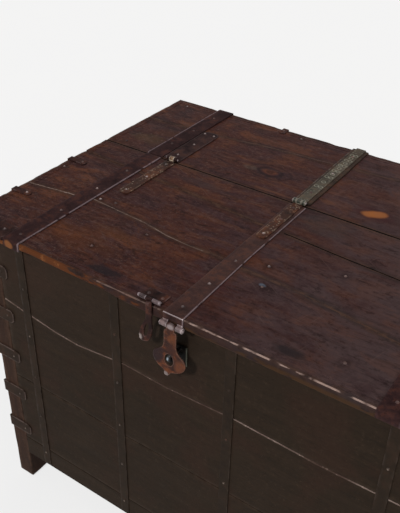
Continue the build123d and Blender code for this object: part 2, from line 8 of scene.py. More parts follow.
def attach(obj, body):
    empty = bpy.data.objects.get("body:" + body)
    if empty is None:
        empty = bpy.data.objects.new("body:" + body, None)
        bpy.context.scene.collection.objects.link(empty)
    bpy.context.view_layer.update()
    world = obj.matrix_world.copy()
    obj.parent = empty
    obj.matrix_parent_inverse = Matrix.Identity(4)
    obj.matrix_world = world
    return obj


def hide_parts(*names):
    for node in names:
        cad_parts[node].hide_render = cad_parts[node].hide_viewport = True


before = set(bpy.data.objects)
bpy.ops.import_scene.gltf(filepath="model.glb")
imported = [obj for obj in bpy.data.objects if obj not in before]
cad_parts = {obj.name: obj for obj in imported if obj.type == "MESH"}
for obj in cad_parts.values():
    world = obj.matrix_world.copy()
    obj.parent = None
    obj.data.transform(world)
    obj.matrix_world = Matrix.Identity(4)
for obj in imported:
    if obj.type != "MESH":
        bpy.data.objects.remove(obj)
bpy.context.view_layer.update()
bpy.context.scene.view_settings.view_transform = "Standard"
print("frame loaded:", len(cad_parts), "nodes")

mm = 0.001
endX, edgeY, topZ = 560.0, 400.0, 800.0      # ends, front and back edges, and face of the top
wallX, wallY, jointY = 534.0, 374.0, 76.0      # outer faces of the walls, middle of the top's joint


def linked(name, data):      # a new object in the scene
    made = bpy.data.objects.new(name, data)
    bpy.context.scene.collection.objects.link(made)
    return made


def times(factor, parts):
    return tuple(factor * part for part in parts)


# camera, first, so that every stage can be looked at
cameraSet = {
    "place": (0.60995, -1.2333, 1.6333),
    "pitch": 34.35, "yaw": 33.75, "roll": 1.318,      # degrees: down, to the left, clockwise
    "lens": 52.57, "sensor": 36.0, "clip": (0.05, 60.0),
}


def makeCamera(look):
    pitch, yaw, roll = (math.radians(look[key]) for key in ("pitch", "yaw", "roll"))
    ahead = Vector((-math.sin(yaw), math.cos(yaw), 0))
    right = Vector((math.cos(yaw), math.sin(yaw), 0))
    forward = ahead * math.cos(pitch) - Vector((0, 0, math.sin(pitch)))
    over = ahead * math.sin(pitch) + Vector((0, 0, math.cos(pitch)))
    side = right * math.cos(roll) + over * math.sin(roll)
    up = over * math.cos(roll) - right * math.sin(roll)
    camera = linked("camera", bpy.data.cameras.new("camera"))
    turned = Matrix((side, up, -forward)).transposed().to_4x4()
    camera.matrix_world = Matrix.Translation(look["place"]) @ turned
    camera.data.lens, camera.data.sensor_width = look["lens"], look["sensor"]
    camera.data.clip_start, camera.data.clip_end = look["clip"]
    bpy.context.scene.camera = camera


makeCamera(cameraSet)


def operators(operation):      # with the socket on the left, and on the right of a plain number
    return (
        lambda self, other: self.maths(operation, self, other),
        lambda self, other: self.maths(operation, other, self))


# shader maths: a socket that adds its own Math nodes
class Flow:
    def __init__(self, paint, socket):
        self.paint = paint
        self.socket = socket

    def maths(self, operation, *terms):
        return self.paint.node("ShaderNodeMath", {"operation": operation}, dict(enumerate(terms)))

    __add__, __radd__ = operators("ADD")
    __sub__, __rsub__ = operators("SUBTRACT")
    __mul__, __rmul__ = operators("MULTIPLY")
    __pow__, __rpow__ = operators("POWER")

    def most(self, other):
        return self.maths("MAXIMUM", self, other)

    def size(self):
        return self.maths("ABSOLUTE", self)

    def wave(self):
        return self.maths("SINE", self)

    def rise(self, low, high):      # 0 below low, 1 above high, smooth between
        return self.paint.node(
            "ShaderNodeMapRange", {"interpolation_type": "SMOOTHSTEP"},
            {"Value": self, "From Min": low, "From Max": high})

    def fall(self, low, high):
        return 1.0 - self.rise(low, high)


class Paint:
    def __init__(self, owner, look=None):      # owner: a new material, or the world
        self.owner, self.look = owner, look
        owner.use_nodes = True
        self.tree = owner.node_tree
        self.tree.nodes.clear()

    def node(self, kind, settings=None, sockets=None, output=0):
        made = self.tree.nodes.new(kind)
        for key, value in (settings or {}).items():
            if key == "stops":
                stops = made.color_ramp.elements
                while len(stops) < len(value):
                    stops.new(0.5)
                for stop, (position, color) in zip(stops, value):
                    stop.position = position
                    stop.color = (*color, 1.0)
            else:
                setattr(made, key, value)
        for key, value in (sockets or {}).items():
            if isinstance(value, Flow):      # a link
                self.tree.links.new(value.socket, made.inputs[key])
            elif isinstance(value, tuple) and made.inputs[key].type == "RGBA":
                made.inputs[key].default_value = (*value, 1.0)
            else:
                made.inputs[key].default_value = value
        return Flow(self, made.outputs[output]) if made.outputs else None

    def point(self):
        return self.node("ShaderNodeTexCoord", output="Object")

    def axis(self, vector, axis):
        return self.node("ShaderNodeSeparateXYZ", {}, {0: vector}, axis)

    def vector(self, x, y, z):
        return self.node("ShaderNodeCombineXYZ", {}, {0: x, 1: y, 2: z})

    def attribute(self, name):
        return self.node("ShaderNodeAttribute", {"attribute_name": name}, {}, "Fac")

    def stretch(self, vector, factors):
        return self.node("ShaderNodeVectorMath", {"operation": "MULTIPLY"}, {0: vector, 1: factors})

    def grain(self, vector, along, pull):      # runs slowly along the grain and fast across it
        return self.stretch(vector, tuple(1.0 if axis == along else pull for axis in range(3)))

    def noise(self, vector, scale, detail=3.0, roughness=0.55, distortion=0.0):
        return self.node("ShaderNodeTexNoise", {}, {
            "Vector": vector, "Scale": scale, "Detail": detail,
            "Roughness": roughness, "Distortion": distortion})

    def cells(self, vector, scale):
        return self.node("ShaderNodeTexVoronoi", {"feature": "F1"}, {"Vector": vector, "Scale": scale})

    def mix(self, share, first, second):
        return self.node("ShaderNodeMix", {"data_type": "RGBA"}, {0: share, 6: first, 7: second}, 2)

    def ground(self, value):      # dark, middle and light, under all the coats
        stops = list(zip((0.36, 0.5, 0.64), self.look["tones"]))
        self.color = self.node("ShaderNodeValToRGB", {"stops": stops}, {0: value})

    def coat(self, share, tint):      # one more colour over the others
        self.color = self.mix(share, self.color, self.look[tint] if isinstance(tint, str) else tint)

    def away(self, place, centre, radii):      # 0 in the middle of an oval, 1 at its edge
        offset = self.node("ShaderNodeVectorMath", {"operation": "SUBTRACT"}, {0: place, 1: centre})
        scaled = self.stretch(offset, tuple(1.0 / radius for radius in radii))
        return self.node("ShaderNodeVectorMath", {"operation": "LENGTH"}, {0: scaled}, 1)

    def spot(self, place, centre, radii, ragged=1.5):      # 1 inside an uneven oval, 0 outside
        uneven = self.noise(self.stretch(place, (0.6, 1.2, 1.0)), 34.0, 5.0, 0.72) - 0.5
        return (self.away(place, centre, radii) + ragged * uneven).fall(0.4, 1.0)

    def finish(self, roughness, height):
        normal = self.node("ShaderNodeBump", {}, {
            "Height": height, "Distance": self.look["relief"] * mm, "Strength": 1.0})
        shader = self.node("ShaderNodeBsdfPrincipled", {}, {
            "Base Color": self.color, "Roughness": roughness, "Normal": normal,
            "Specular IOR Level": self.look["specular"]})
        self.output(shader)
        return self.owner

    def output(self, shader, kind="Material"):
        self.node("ShaderNodeOutput" + kind, {}, {"Surface": shader})

    def seen(self):      # 1 where the camera, a mirror or a pane sees the surface
        rays = [self.node("ShaderNodeLightPath", output="Is " + ray + " Ray") for ray in (
            "Camera", "Glossy", "Transmission")]
        return rays[0].most(rays[1]).most(rays[2])


def woodPaint(name, look):
    paint = Paint(bpy.data.materials.new(name), look)
    place, along = paint.point(), look["along"]
    dark, light = times(0.5, look["tones"][0]), times(2.2, look["tones"][2])
    grain = paint.grain(place, along, look["pull"])
    fibre = paint.noise(grain, look["fibre"], 6.0, 0.7, 0.6)
    figure = paint.noise(grain, look["figure"], 3.0, 0.55, 1.4)
    patches = paint.noise(place, look["patch"], 4.0, 0.6)
    pores = paint.noise(paint.grain(place, along, 22.0), 34.0, 2.0, 0.5)
    grit = paint.noise(place, 130.0, 4.0, 0.75)
    worn = paint.attribute("worn") * paint.noise(place, 60.0, 3.0).rise(0.35, 0.6)
    paint.ground(fibre * 0.55 + figure * 0.45)
    paint.coat(patches.rise(0.48, 0.66) * look["patchShare"], "patchColor")
    if "aloft" in look:      # painted light: a little lighter towards the top left
        paint.coat((paint.axis(place, 2) - 0.35 * paint.axis(place, 0)).rise(0.55, 1.0) * 0.6, "aloft")
    paint.coat(pores.fall(0.3, 0.42) * 0.4, dark)
    paint.coat(grit.rise(0.56, 0.70) * look["grit"], light)
    paint.coat(grit.fall(0.32, 0.45) * look["grit"], dark)
    paint.coat(worn * look["wear"], "wornColor")
    rough = look["rough"] + 0.22 * (fibre - 0.5) + 0.1 * patches
    height = fibre * 0.6 + pores.rise(0.3, 0.45) * 0.3 + paint.noise(place, 90.0, 3.0) * 0.2
    return paint.finish(rough, height)


topLook = {
    "red": (0.057, 0.0192, 0.0130), "plum": (0.043, 0.0200, 0.0210), "orange": (0.122, 0.042, 0.0180),
    "dust": (0.060, 0.0385, 0.0380), "dark": (0.0105, 0.0050, 0.0045), "deep": (0.042, 0.0122, 0.0100),
    "shade": (0.025, 0.0112, 0.0128),
    "light": (0.098, 0.060, 0.052),
    "grime": (0.018, 0.0150, 0.0130), "rim": (0.092, 0.048, 0.032),
    "rawEdge": (0.105, 0.034, 0.0120), "bareEdge": (0.24, 0.092, 0.032), "underEdge": (0.060, 0.030, 0.013),
    # painted highlight colour for the lid's front arris
    "paleEdge": (0.46, 0.32, 0.27),
    "rough": 0.46, "relief": 0.45, "specular": 0.02, "depth": 0.799,      # height that the spots lie at
    "scratches": ((0.35, 7.0), (-0.6, 9.0), (1.3, 8.0)),      # how each lies, how close they are
    "knot": ((426, 571), (66, 40), 17.0),      # place, radii, how close its rings are
    "spots": [      # place in from the lid's left front corner, radii, colour, share
        ((250, 92), (130, 56), (0.092, 0.030, 0.011), 0.34),
        ((300, 150), (70, 26), (0.092, 0.034, 0.013), 0.34),
        ((366, 36), (52, 17), (0.013, 0.010, 0.012), 0.75),
        ((772, 36), (44, 15), (0.014, 0.011, 0.012), 0.75),
        ((640, 172), (9, 6), (0.14, 0.17, 0.22), 0.75),
        ((426, 571), (66, 38), (0.018, 0.010, 0.013), 0.6),
        ((426, 571), (26, 14), (0.100, 0.032, 0.017), 0.75),
        ((372, 566), (26, 14), (0.11, 0.082, 0.062), 0.3),
        ((703, 536), (62, 34), (0.040, 0.012, 0.012), 0.6),
        ((695, 531), (21, 17), (0.25, 0.088, 0.030), 0.95, 0.5),
        ((707, 538), (23, 18), (0.27, 0.092, 0.028), 0.95, 0.5),
        ((719, 544), (20, 17), (0.25, 0.088, 0.030), 0.95, 0.5),
        ((601, 525), (24, 13), (0.105, 0.044, 0.026), 0.6),
        ((475, 492), (64, 8), (0.125, 0.052, 0.030), 0.5),
        ((640, 430), (90, 50), (0.036, 0.031, 0.030), 0.35),
        ((85, 545), (60, 34), (0.070, 0.045, 0.020), 0.3),
        ((130, 600), (70, 30), (0.085, 0.034, 0.016), 0.3),
        ((330, 430), (90, 22), (0.030, 0.022, 0.023), 0.4),
        ((560, 120), (60, 30), (0.062, 0.018, 0.018), 0.4),
        ((1010, 90), (70, 26), (0.080, 0.036, 0.022), 0.25),
    ],
}


def topPaint(name, look):
    paint = Paint(bpy.data.materials.new(name), look)
    place = paint.point()
    x, y, z = (paint.axis(place, axis) for axis in range(3))
    bent = paint.vector(x, y + 0.07 * (paint.noise(place, 2.6, 2.0) - 0.5), z)
    streak = paint.noise(paint.grain(bent, 0, 9.0), 10.0, 6.0, 0.75, 0.4)
    fibre = paint.noise(paint.grain(bent, 0, 24.0), 17.0, 4.0, 0.72)
    broad = paint.noise(paint.grain(place, 0, 1.7), 5.0, 7.0, 0.72, 0.5)
    blotch = paint.noise(paint.grain(place, 0, 2.0), 15.0, 8.0, 0.80, 0.4)
    mottle = paint.noise(paint.grain(place, 0, 1.6), 62.0, 5.0, 0.72)
    patch = paint.noise(paint.grain(place, 0, 2.0), 9.0, 4.0, 0.62, 0.6)
    broken = paint.noise(paint.grain(place, 0, 3.0), 22.0, 5.0, 0.7)
    speck = paint.noise(place, 150.0, 4.0, 0.75)
    uneven = paint.noise(place, 30.0, 4.0, 0.7)
    tone = blotch * 0.6 + mottle * 0.4
    bite = (0.1 * y - x).rise(-0.40, 0.70) + 0.45 * paint.spot(
        place, (-0.29, -0.33, look["depth"]), (0.20, 0.09, 0.1))
    paint.color = paint.mix(
        (broad * 0.7 + mottle * 0.3 + 0.10 * x).rise(0.43, 0.57), look["red"], look["plum"])
    paint.coat((0.9 * (y - x) + 0.5 * (broad - 0.5)).rise(0.0, 0.75) * 0.55, "deep")
    # greyish dust with painted sheen, growing towards the right
    paint.coat((broad * 0.4 + blotch * 0.25 + 0.62 * x).rise(0.26, 0.58) * 0.85, "dust")
    for part, low, high, share, bitten, tint in (      # bitten: how much more on the worn left
            (patch.rise, 0.52, 0.62, 0.16, 0.42, "orange"), (patch.fall, 0.38, 0.48, 0.38, 0.27, "shade"),
            (tone.rise, 0.51, 0.63, 0.15, 0.25, "orange"), (tone.fall, 0.38, 0.49, 0.5, 0.0, "dark"),
            (streak.fall, 0.36, 0.50, 0.36, 0.15, "dark"), (streak.rise, 0.54, 0.68, 0.12, 0.30, "light"),
            (fibre.fall, 0.34, 0.47, 0.15, 0.4, "dark"), (fibre.rise, 0.56, 0.68, 0.08, 0.25, "light"),
            (mottle.fall, 0.36, 0.47, 0.25, 0.2, "dark"), (mottle.rise, 0.55, 0.66, 0.10, 0.2, "light"),
            (speck.rise, 0.56, 0.67, 0.20, 0.6, "light"), (speck.fall, 0.33, 0.44, 0.20, 0.6, "dark")):
        paint.coat(part(low, high) * (share + bitten * bite), tint)

    def onTop(across, back):
        return (across - endX) * mm, (back - edgeY) * mm, look["depth"]

    for centre, radii, tint, share, *ragged in look["spots"]:
        mask = paint.spot(place, onTop(*centre), times(mm, (*radii, 20)), *ragged)
        paint.coat(mask * share, tint)
    centre, radii, closeness = look["knot"]
    away = paint.away(place, onTop(*centre), times(mm, (*radii, 50)))
    rings = ((away + 0.5 * (streak - 0.5)) * closeness).wave().rise(0.0, 0.9) * away.fall(0.6, 1.2)
    paint.coat(rings * 0.55, "dark")
    for lean, size in look["scratches"]:
        ahead, aside = math.cos(lean), math.sin(lean)
        along = paint.vector(x * ahead + y * aside, (y * ahead - x * aside) * 34.0, z)
        paint.coat(paint.noise(along, size, 2.0, 0.5, 0.3).rise(0.68, 0.75) * 0.32, "light")
    seam = paint.attribute("seam") + 0.10 * (paint.noise(place, 14.0, 4.0, 0.6) - 0.5)
    paint.coat(seam.fall(0.01, 0.16) * 0.5, "grime")
    stain = paint.attribute("stain") * paint.noise(place, 70.0, 3.0, 0.6).rise(0.3, 0.55)
    paint.coat(stain * 0.75, "dark")
    rubbedLeft = (x + 0.10).fall(-0.03, 0.0) * 0.0025
    front = (y + 0.3975 - rubbedLeft).fall(-0.0005, 0.001)
    moulding = (y + 0.3862).size().fall(0.0, 0.0016) * uneven.rise(0.45, 0.6)
    paint.coat(moulding * (0.45 - 0.7 * x), "rim")
    rubbed = paint.attribute("worn") * paint.noise(place, 38.0, 4.0, 0.65).rise(0.36, 0.6)
    paint.coat(rubbed * (0.65 - 0.4 * front), "rim")
    raw = front * (broken + 0.9 * (x + 0.22)).fall(0.46, 0.60)
    bare = (uneven - 0.5 * (x + 0.42)).rise(0.46, 0.60)
    paint.coat(raw * 0.85, paint.mix(bare, look["rawEdge"], look["bareEdge"]))
    under = front * (z - 0.788).fall(-0.003, 0.006) * (x + 0.02).rise(0.0, 0.04)
    paint.coat(under * broken.rise(0.40, 0.52) * 0.7, "underEdge")
    # painted highlight along the lid's front arris, broken up, strongest right of the middle strap
    arris = (z - 0.7973).rise(0.0, 0.0008) * (y + 0.3974).fall(-0.0005, 0.0006)
    reach = (x + 0.01).rise(0.0, 0.03) * 0.45 + (x + 0.22).rise(0.0, 0.04) * 0.25
    paint.coat(arris * reach * paint.noise(place, 42.0, 3.0, 0.6).rise(0.38, 0.56), "paleEdge")
    rough = look["rough"] + 0.25 * (blotch - 0.5) + 0.15 * (speck - 0.5) + 0.12 * seam.fall(0.0, 0.2)
    height = streak * 0.35 + fibre * 0.4 + speck * 0.2 + blotch * 0.2 - rings * 0.2
    return paint.finish(rough, height)


def ironPaint(name, look):
    paint = Paint(bpy.data.materials.new(name), look)
    place, dark = paint.point(), look["tones"][0]
    broad = paint.noise(place, look["broad"], 5.0, 0.62, 0.5)
    scale = paint.noise(place, look["scale"], 6.0, 0.7)
    pits = paint.cells(place, look["pits"]).rise(0.1, 0.42)
    paint.ground(broad * 0.6 + scale * 0.4)
    rust = (broad * 0.5 + scale * 0.5).rise(look["rustFrom"], look["rustFrom"] + 0.1)
    paint.coat(rust * look["rustShare"], "rust")
    paint.coat((1.0 - pits) * scale.rise(0.45, 0.6) * 0.6, dark)
    uneven = paint.noise(place, look["brightScale"], 4.0, 0.6)
    # pale rubbed edges with a painted highlight, strongest on right-facing edges and on nail tops
    bright = paint.attribute("worn") ** 3.0 * uneven.rise(look["brightFrom"], look["brightFrom"] + 0.14)
    paint.coat(bright * look["wear"], "bright")
    for centre, radii, tint, share in look.get("spots", ()):      # in millimetres
        paint.coat(paint.spot(place, times(mm, centre), times(mm, radii), 1.0) * share, tint)
    if "speckle" in look:      # pale pits
        dots = (1.0 - pits) * paint.noise(place, 30.0, 3.0, 0.6).rise(0.42, 0.56)
        paint.coat(dots * look["speckle"], "speckleColor")
    rough = look["rough"] + 0.3 * (scale - 0.5) - 0.15 * bright
    height = pits * 0.35 + scale * 0.5 + broad * 0.3
    for across, back in look.get("rings", ()):      # punched circles, in millimetres
        size = look["ringSize"] * mm
        away = paint.away(place, (across * mm, back * mm, 0.807), (size, size, 1.0))
        ring = (away - 1.0).size().fall(0.0, 0.30)
        paint.coat(ring * 0.8, "ringColor")
        height = height - ring * 0.6
    return paint.finish(rough, height)


plainWood = {
    "along": 0, "pull": 9.0, "fibre": 14.0, "figure": 3.0, "patch": 7.0, "patchShare": 0.45,
    "tones": ((0.0185, 0.0122, 0.0086), (0.0235, 0.0152, 0.0105), (0.029, 0.0187, 0.0128)),
    "patchColor": (0.033, 0.0165, 0.0115), "grit": 0.3, "wear": 0.35, "wornColor": (0.06, 0.04, 0.028),
    "rough": 0.6, "relief": 0.5, "specular": 0.045,
}
rawWood = {
    "tones": ((0.09, 0.05, 0.03), (0.2, 0.12, 0.07), (0.32, 0.21, 0.13)), "patchColor": (0.16, 0.09, 0.05),
    "wornColor": (0.36, 0.25, 0.16), "rough": 0.7,
}
insideWood = rawWood | {
    "tones": ((0.045, 0.026, 0.016), (0.105, 0.063, 0.039), (0.17, 0.11, 0.07)),
    "patchColor": (0.085, 0.046, 0.027), "wornColor": (0.19, 0.125, 0.08),
}
plainIron = {
    "broad": 22.0, "scale": 75.0, "pits": 160.0, "rustFrom": 0.5, "rustShare": 0.6,
    "tones": ((0.013, 0.0074, 0.0078), (0.032, 0.0168, 0.0158), (0.056, 0.031, 0.028)),
    "rust": (0.082, 0.026, 0.013), "wear": 0.85, "bright": (0.23, 0.17, 0.18), "brightFrom": 0.34,
    "brightScale": 45.0, "rough": 0.5, "relief": 0.4, "specular": 0.07,
}

woods = {      # what differs from plain wood
    "wallWood": {
        "tones": ((0.017, 0.0115, 0.0076), (0.022, 0.0144, 0.0094), (0.0275, 0.0178, 0.0116)),
        "aloft": (0.033, 0.0195, 0.0135)},
    "endWallWood": {"along": 1},
    "postWood": {
        "along": 2, "tones": ((0.022, 0.012, 0.009), (0.036, 0.019, 0.013), (0.052, 0.0275, 0.0185)),
        "patchColor": (0.05, 0.0225, 0.015), "wear": 0.45, "wornColor": (0.085, 0.05, 0.034)},
    "insideWood": insideWood,
    "endInsideWood": insideWood | {"along": 1},
    "floorWood": rawWood | {"along": 1},
    "railWood": rawWood,
    # pale seam lines: dust with a painted highlight
    "seamDustAndHighlight": {
        "tones": ((0.06, 0.038, 0.032), (0.17, 0.12, 0.102), (0.34, 0.26, 0.225)),
        "patchColor": (0.05, 0.028, 0.022), "patchShare": 0.9, "rough": 0.8},
    "seamWorn": {
        "tones": ((0.04, 0.022, 0.02), (0.065, 0.036, 0.032), (0.11, 0.068, 0.06)),
        "patchColor": (0.045, 0.022, 0.019), "patchShare": 0.75, "rough": 0.8},
    "seamShade": {
        "tones": ((0.003, 0.002, 0.002), (0.006, 0.004, 0.0035), (0.012, 0.008, 0.007)),
        "patchColor": (0.008, 0.005, 0.004), "wear": 0.0, "rough": 0.9},
}
irons = {      # what differs from plain iron
    "strapIron": {
        "tones": ((0.012, 0.006, 0.0062), (0.029, 0.014, 0.0138), (0.053, 0.0275, 0.0265)),
        "rust": (0.062, 0.0215, 0.014), "specular": 0.014, "rough": 0.6,
        "spots": [((-412, -402, 791), (14, 12, 12), (0.2, 0.08, 0.032), 0.9)]},
    "strapIronRed": {
        "tones": ((0.02, 0.0105, 0.0095), (0.045, 0.0215, 0.0185), (0.066, 0.036, 0.032)),
        "rust": (0.085, 0.03, 0.016), "rustShare": 0.5, "specular": 0.035},
    "bandIron": {
        "tones": ((0.0165, 0.011, 0.0078), (0.0225, 0.015, 0.0102), (0.03, 0.0196, 0.0135)),
        "rust": (0.031, 0.016, 0.0105), "rustShare": 0.3, "bright": (0.06, 0.043, 0.034), "wear": 0.45,
        "brightFrom": 0.44, "specular": 0.045, "rough": 0.62},
    "cornerIron": {
        "tones": ((0.018, 0.0115, 0.0085), (0.026, 0.0165, 0.0118), (0.036, 0.0225, 0.016)),
        "rust": (0.042, 0.019, 0.012), "rustShare": 0.4, "bright": (0.13, 0.092, 0.08), "wear": 0.6,
        "brightFrom": 0.38, "specular": 0.045, "rough": 0.62},
    "plateInPaintedShadow": {      # the staple's plate: painted near black for the hasp's shadow, with a painted highlight on its rubbed right edge
        "tones": ((0.004, 0.004, 0.004), (0.008, 0.008, 0.007), (0.014, 0.013, 0.011)), "rustShare": 0.1,
        "bright": (0.2, 0.2, 0.16), "wear": 0.8, "specular": 0.045},
    "clipIron": {
        "tones": ((0.011, 0.006, 0.0058), (0.032, 0.0155, 0.0135), (0.054, 0.028, 0.0245)),
        "bright": (0.13, 0.085, 0.08), "wear": 0.5, "brightFrom": 0.46, "specular": 0.02, "rough": 0.6},
    "bendRubbedAndHighlight": {      # rubbed bare where the strap turns down, with a painted highlight along the bend
        "tones": ((0.12, 0.09, 0.09), (0.3, 0.24, 0.24), (0.52, 0.44, 0.44)), "rustShare": 0.2,
        "bright": (0.62, 0.54, 0.53), "specular": 0.2, "rough": 0.4},
    "darkLeaf": {
        "tones": ((0.012, 0.0068, 0.007), (0.032, 0.018, 0.0175), (0.054, 0.033, 0.031)),
        "rust": (0.058, 0.024, 0.017), "bright": (0.09, 0.065, 0.062), "wear": 0.5, "specular": 0.012,
        "rough": 0.6},
    "rustyLeaf": {
        "tones": ((0.016, 0.008, 0.006), (0.042, 0.0175, 0.012), (0.078, 0.034, 0.022)),
        "rust": (0.105, 0.036, 0.015), "rustShare": 0.55, "bright": (0.3, 0.22, 0.165), "brightFrom": 0.48,
        "wear": 0.3, "speckle": 0.55, "speckleColor": (0.4, 0.3, 0.22), "specular": 0.04},
    "patinaLeaf": {
        "tones": ((0.027, 0.022, 0.016), (0.064, 0.053, 0.04), (0.112, 0.093, 0.07)),
        "rust": (0.095, 0.06, 0.034), "rustShare": 0.5, "specular": 0.04, "bright": (0.24, 0.2, 0.155),
        "wear": 0.3, "speckle": 0.5, "speckleColor": (0.22, 0.21, 0.165), "ringSize": 4.6,
        "ringColor": (0.28, 0.27, 0.21),
        "spots": [((-5, 352, 805), (26, 64, 40), (0.05, 0.036, 0.024), 0.75)],
        "rings": [
            (-5.0 + aside, back) for back in (167, 220, 258, 292, 325, 358) for aside in (-5.2, 5.2)] + [
            (-5.0, back) for back in (193, 239, 275, 308, 341)]},
    "oliveStrap": {
        "tones": ((0.014, 0.009, 0.007), (0.034, 0.0215, 0.0155), (0.06, 0.041, 0.03)),
        "rust": (0.06, 0.029, 0.017), "bright": (0.17, 0.13, 0.11), "wear": 0.5, "brightFrom": 0.42,
        "specular": 0.03},
    # pale rusty knuckle with a painted highlight
    "brightKnuckle": {
        "tones": ((0.08, 0.042, 0.024), (0.28, 0.17, 0.1), (0.6, 0.44, 0.31)), "rust": (0.22, 0.09, 0.035),
        "rustShare": 0.4, "bright": (0.72, 0.6, 0.47), "specular": 0.2, "rough": 0.4},
    "darkKnuckle": {
        "tones": ((0.008, 0.01, 0.007), (0.02, 0.024, 0.017), (0.055, 0.058, 0.045)),
        "rust": (0.05, 0.03, 0.016), "bright": (0.34, 0.3, 0.24), "wear": 0.6, "specular": 0.2, "rough": 0.4},
    "haspIron": {
        "tones": ((0.013, 0.0062, 0.0058), (0.048, 0.017, 0.0108), (0.1, 0.034, 0.018)),
        "rust": (0.135, 0.04, 0.015), "rustShare": 0.7, "bright": (0.24, 0.13, 0.095), "wear": 0.35,
        "broad": 40.0, "scale": 95.0, "relief": 0.7,
        "spots": [
            ((4, -411, 752), (13, 30, 13), (0.115, 0.04, 0.017), 0.5),
            ((1, -411, 728), (14, 30, 16), (0.05, 0.0175, 0.0125), 0.5),
            ((20, -411, 692), (18, 30, 24), (0.12, 0.042, 0.021), 0.6),
            ((-31, -411, 706), (22, 30, 30), (0.02, 0.0105, 0.0115), 0.9),
            # painted highlights on the curled nose and on the knuckle
            ((-11, -411, 664), (8, 30, 8), (0.22, 0.18, 0.17), 0.8),
            ((0, -411, 781), (12, 30, 7), (0.3, 0.245, 0.245), 0.8)]},
    "linkIron": {
        "tones": ((0.007, 0.0036, 0.0036), (0.026, 0.0105, 0.0088), (0.056, 0.024, 0.019)),
        "rust": (0.075, 0.025, 0.015), "bright": (0.2, 0.13, 0.12), "wear": 0.3, "brightFrom": 0.5,
        # a painted highlight at the lower left of the loop
        "spots": [((-73, -406, 724), (9, 20, 12), (0.32, 0.27, 0.25), 0.85)]},
    # pale pins and knuckles: a painted highlight
    "pinIron": {
        "tones": ((0.04, 0.026, 0.025), (0.15, 0.105, 0.105), (0.33, 0.25, 0.25)),
        "rust": (0.1, 0.045, 0.028), "rustShare": 0.5, "bright": (0.46, 0.38, 0.38), "specular": 0.3},
    # paler pin and knuckles: a painted highlight
    "dullPin": {
        "tones": ((0.03, 0.019, 0.019), (0.11, 0.078, 0.08), (0.22, 0.165, 0.17)),
        "rust": (0.08, 0.036, 0.024), "rustShare": 0.4, "bright": (0.3, 0.24, 0.25), "specular": 0.15},
    # the staple: painted near black for the shade it lies in, with a painted highlight where its tip shows in
    # the hasp's hole
    "stapleShadowAndGlint": {
        "tones": ((0.006, 0.006, 0.006), (0.01, 0.01, 0.01), (0.016, 0.016, 0.016)), "rustShare": 0.2,
        "bright": (0.03, 0.03, 0.03), "specular": 0.1, "rough": 0.4,
        "spots": [((-7, -412, 702), (4.5, 6, 8), (0.3, 0.35, 0.39), 0.95)]},
    # nails: the pale coat on the head tops is a painted highlight
    "nailIron": {
        "tones": ((0.016, 0.009, 0.009), (0.05, 0.03, 0.027), (0.14, 0.095, 0.088)),
        "bright": (0.42, 0.33, 0.31), "brightFrom": 0.44, "brightScale": 13.0, "specular": 0.12},
    "wallNail": {
        "tones": ((0.012, 0.008, 0.006), (0.026, 0.018, 0.013), (0.05, 0.036, 0.027)),
        "bright": (0.17, 0.13, 0.105), "brightFrom": 0.42, "brightScale": 13.0},
}
paints = {"topWood": topPaint("topWood", topLook)}
paints |= {name: woodPaint(name, plainWood | look) for name, look in woods.items()}
paints |= {name: ironPaint(name, plainIron | look) for name, look in irons.items()}
print("finishes ready:", len(paints))


# shaping tools, in millimetres until a piece is finished
def unit(axis):
    return Vector([float(other == axis) for other in range(3)])


def vertsOf(parts):
    return [part for part in parts if isinstance(part, bmesh.types.BMVert)]


def everything(shape):
    return shape.verts[:] + shape.edges[:] + shape.faces[:]


def pick(edges, test):      # the edges whose two ends pass
    return [edge for edge in edges if all(test(vert.co) for vert in edge.verts)]


def paintFaces(shape, index, test):      # another finish on the faces whose middle passes
    for face in shape.faces:
        if test(face.calc_center_median(), face.normal):
            face.material_index = index


def slab(shape, outline, axis, low, high):      # a flat outline given a thickness along one axis
    others = [other for other in range(3) if other != axis]
    corners = []
    for point in outline:
        place = [0.0, 0.0, 0.0]
        place[axis], place[others[0]], place[others[1]] = low, point[0], point[1]
        corners.append(shape.verts.new(place))
    grown = bmesh.ops.extrude_face_region(shape, geom=[shape.faces.new(corners)])["geom"]
    bmesh.ops.translate(shape, vec=unit(axis) * (high - low), verts=vertsOf(grown))


def box(shape, low, high):
    size = Vector(high) - Vector(low)
    middle = (Vector(high) + Vector(low)) / 2
    bmesh.ops.create_cube(shape, size=1.0, matrix=Matrix.Translation(middle) @ Matrix.Diagonal((*size, 1.0)))


def rod(shape, radius, left, right, y, z, sides=20):      # a round bar along X
    spot = Matrix.Translation(((left + right) / 2, y, z)) @ Matrix.Rotation(math.pi / 2, 4, "Y")
    bmesh.ops.create_cone(
        shape, cap_ends=True, segments=sides, radius1=radius, radius2=radius, depth=right - left, matrix=spot)


def sliceUp(shape, axis, places):
    for place in places:
        bmesh.ops.bisect_plane(
            shape, geom=everything(shape), plane_co=unit(axis) * place, plane_no=unit(axis), dist=0.02)


def sliceEvery(shape, axis, step):
    low = min(vert.co[axis] for vert in shape.verts)
    high = max(vert.co[axis] for vert in shape.verts)
    count = int((high - low) / step)
    sliceUp(shape, axis, [low + (high - low) * (turn + 1) / (count + 1) for turn in range(count)])


def soften(shape, edges, width, segments=2):      # rounds edges and marks the new faces
    mark = shape.faces.layers.int.get("bevelled") or shape.faces.layers.int.new("bevelled")
    made = bmesh.ops.bevel(
        shape, geom=edges, affect="EDGES", offset=width, offset_type="OFFSET", segments=segments,
        profile=0.5, material=-1, clamp_overlap=True)
    for face in made["faces"]:
        face[mark] = 1


def sharpEdges(shape, angle=0.6):
    return [edge for edge in shape.edges if edge.is_manifold and edge.calc_face_angle() > angle]


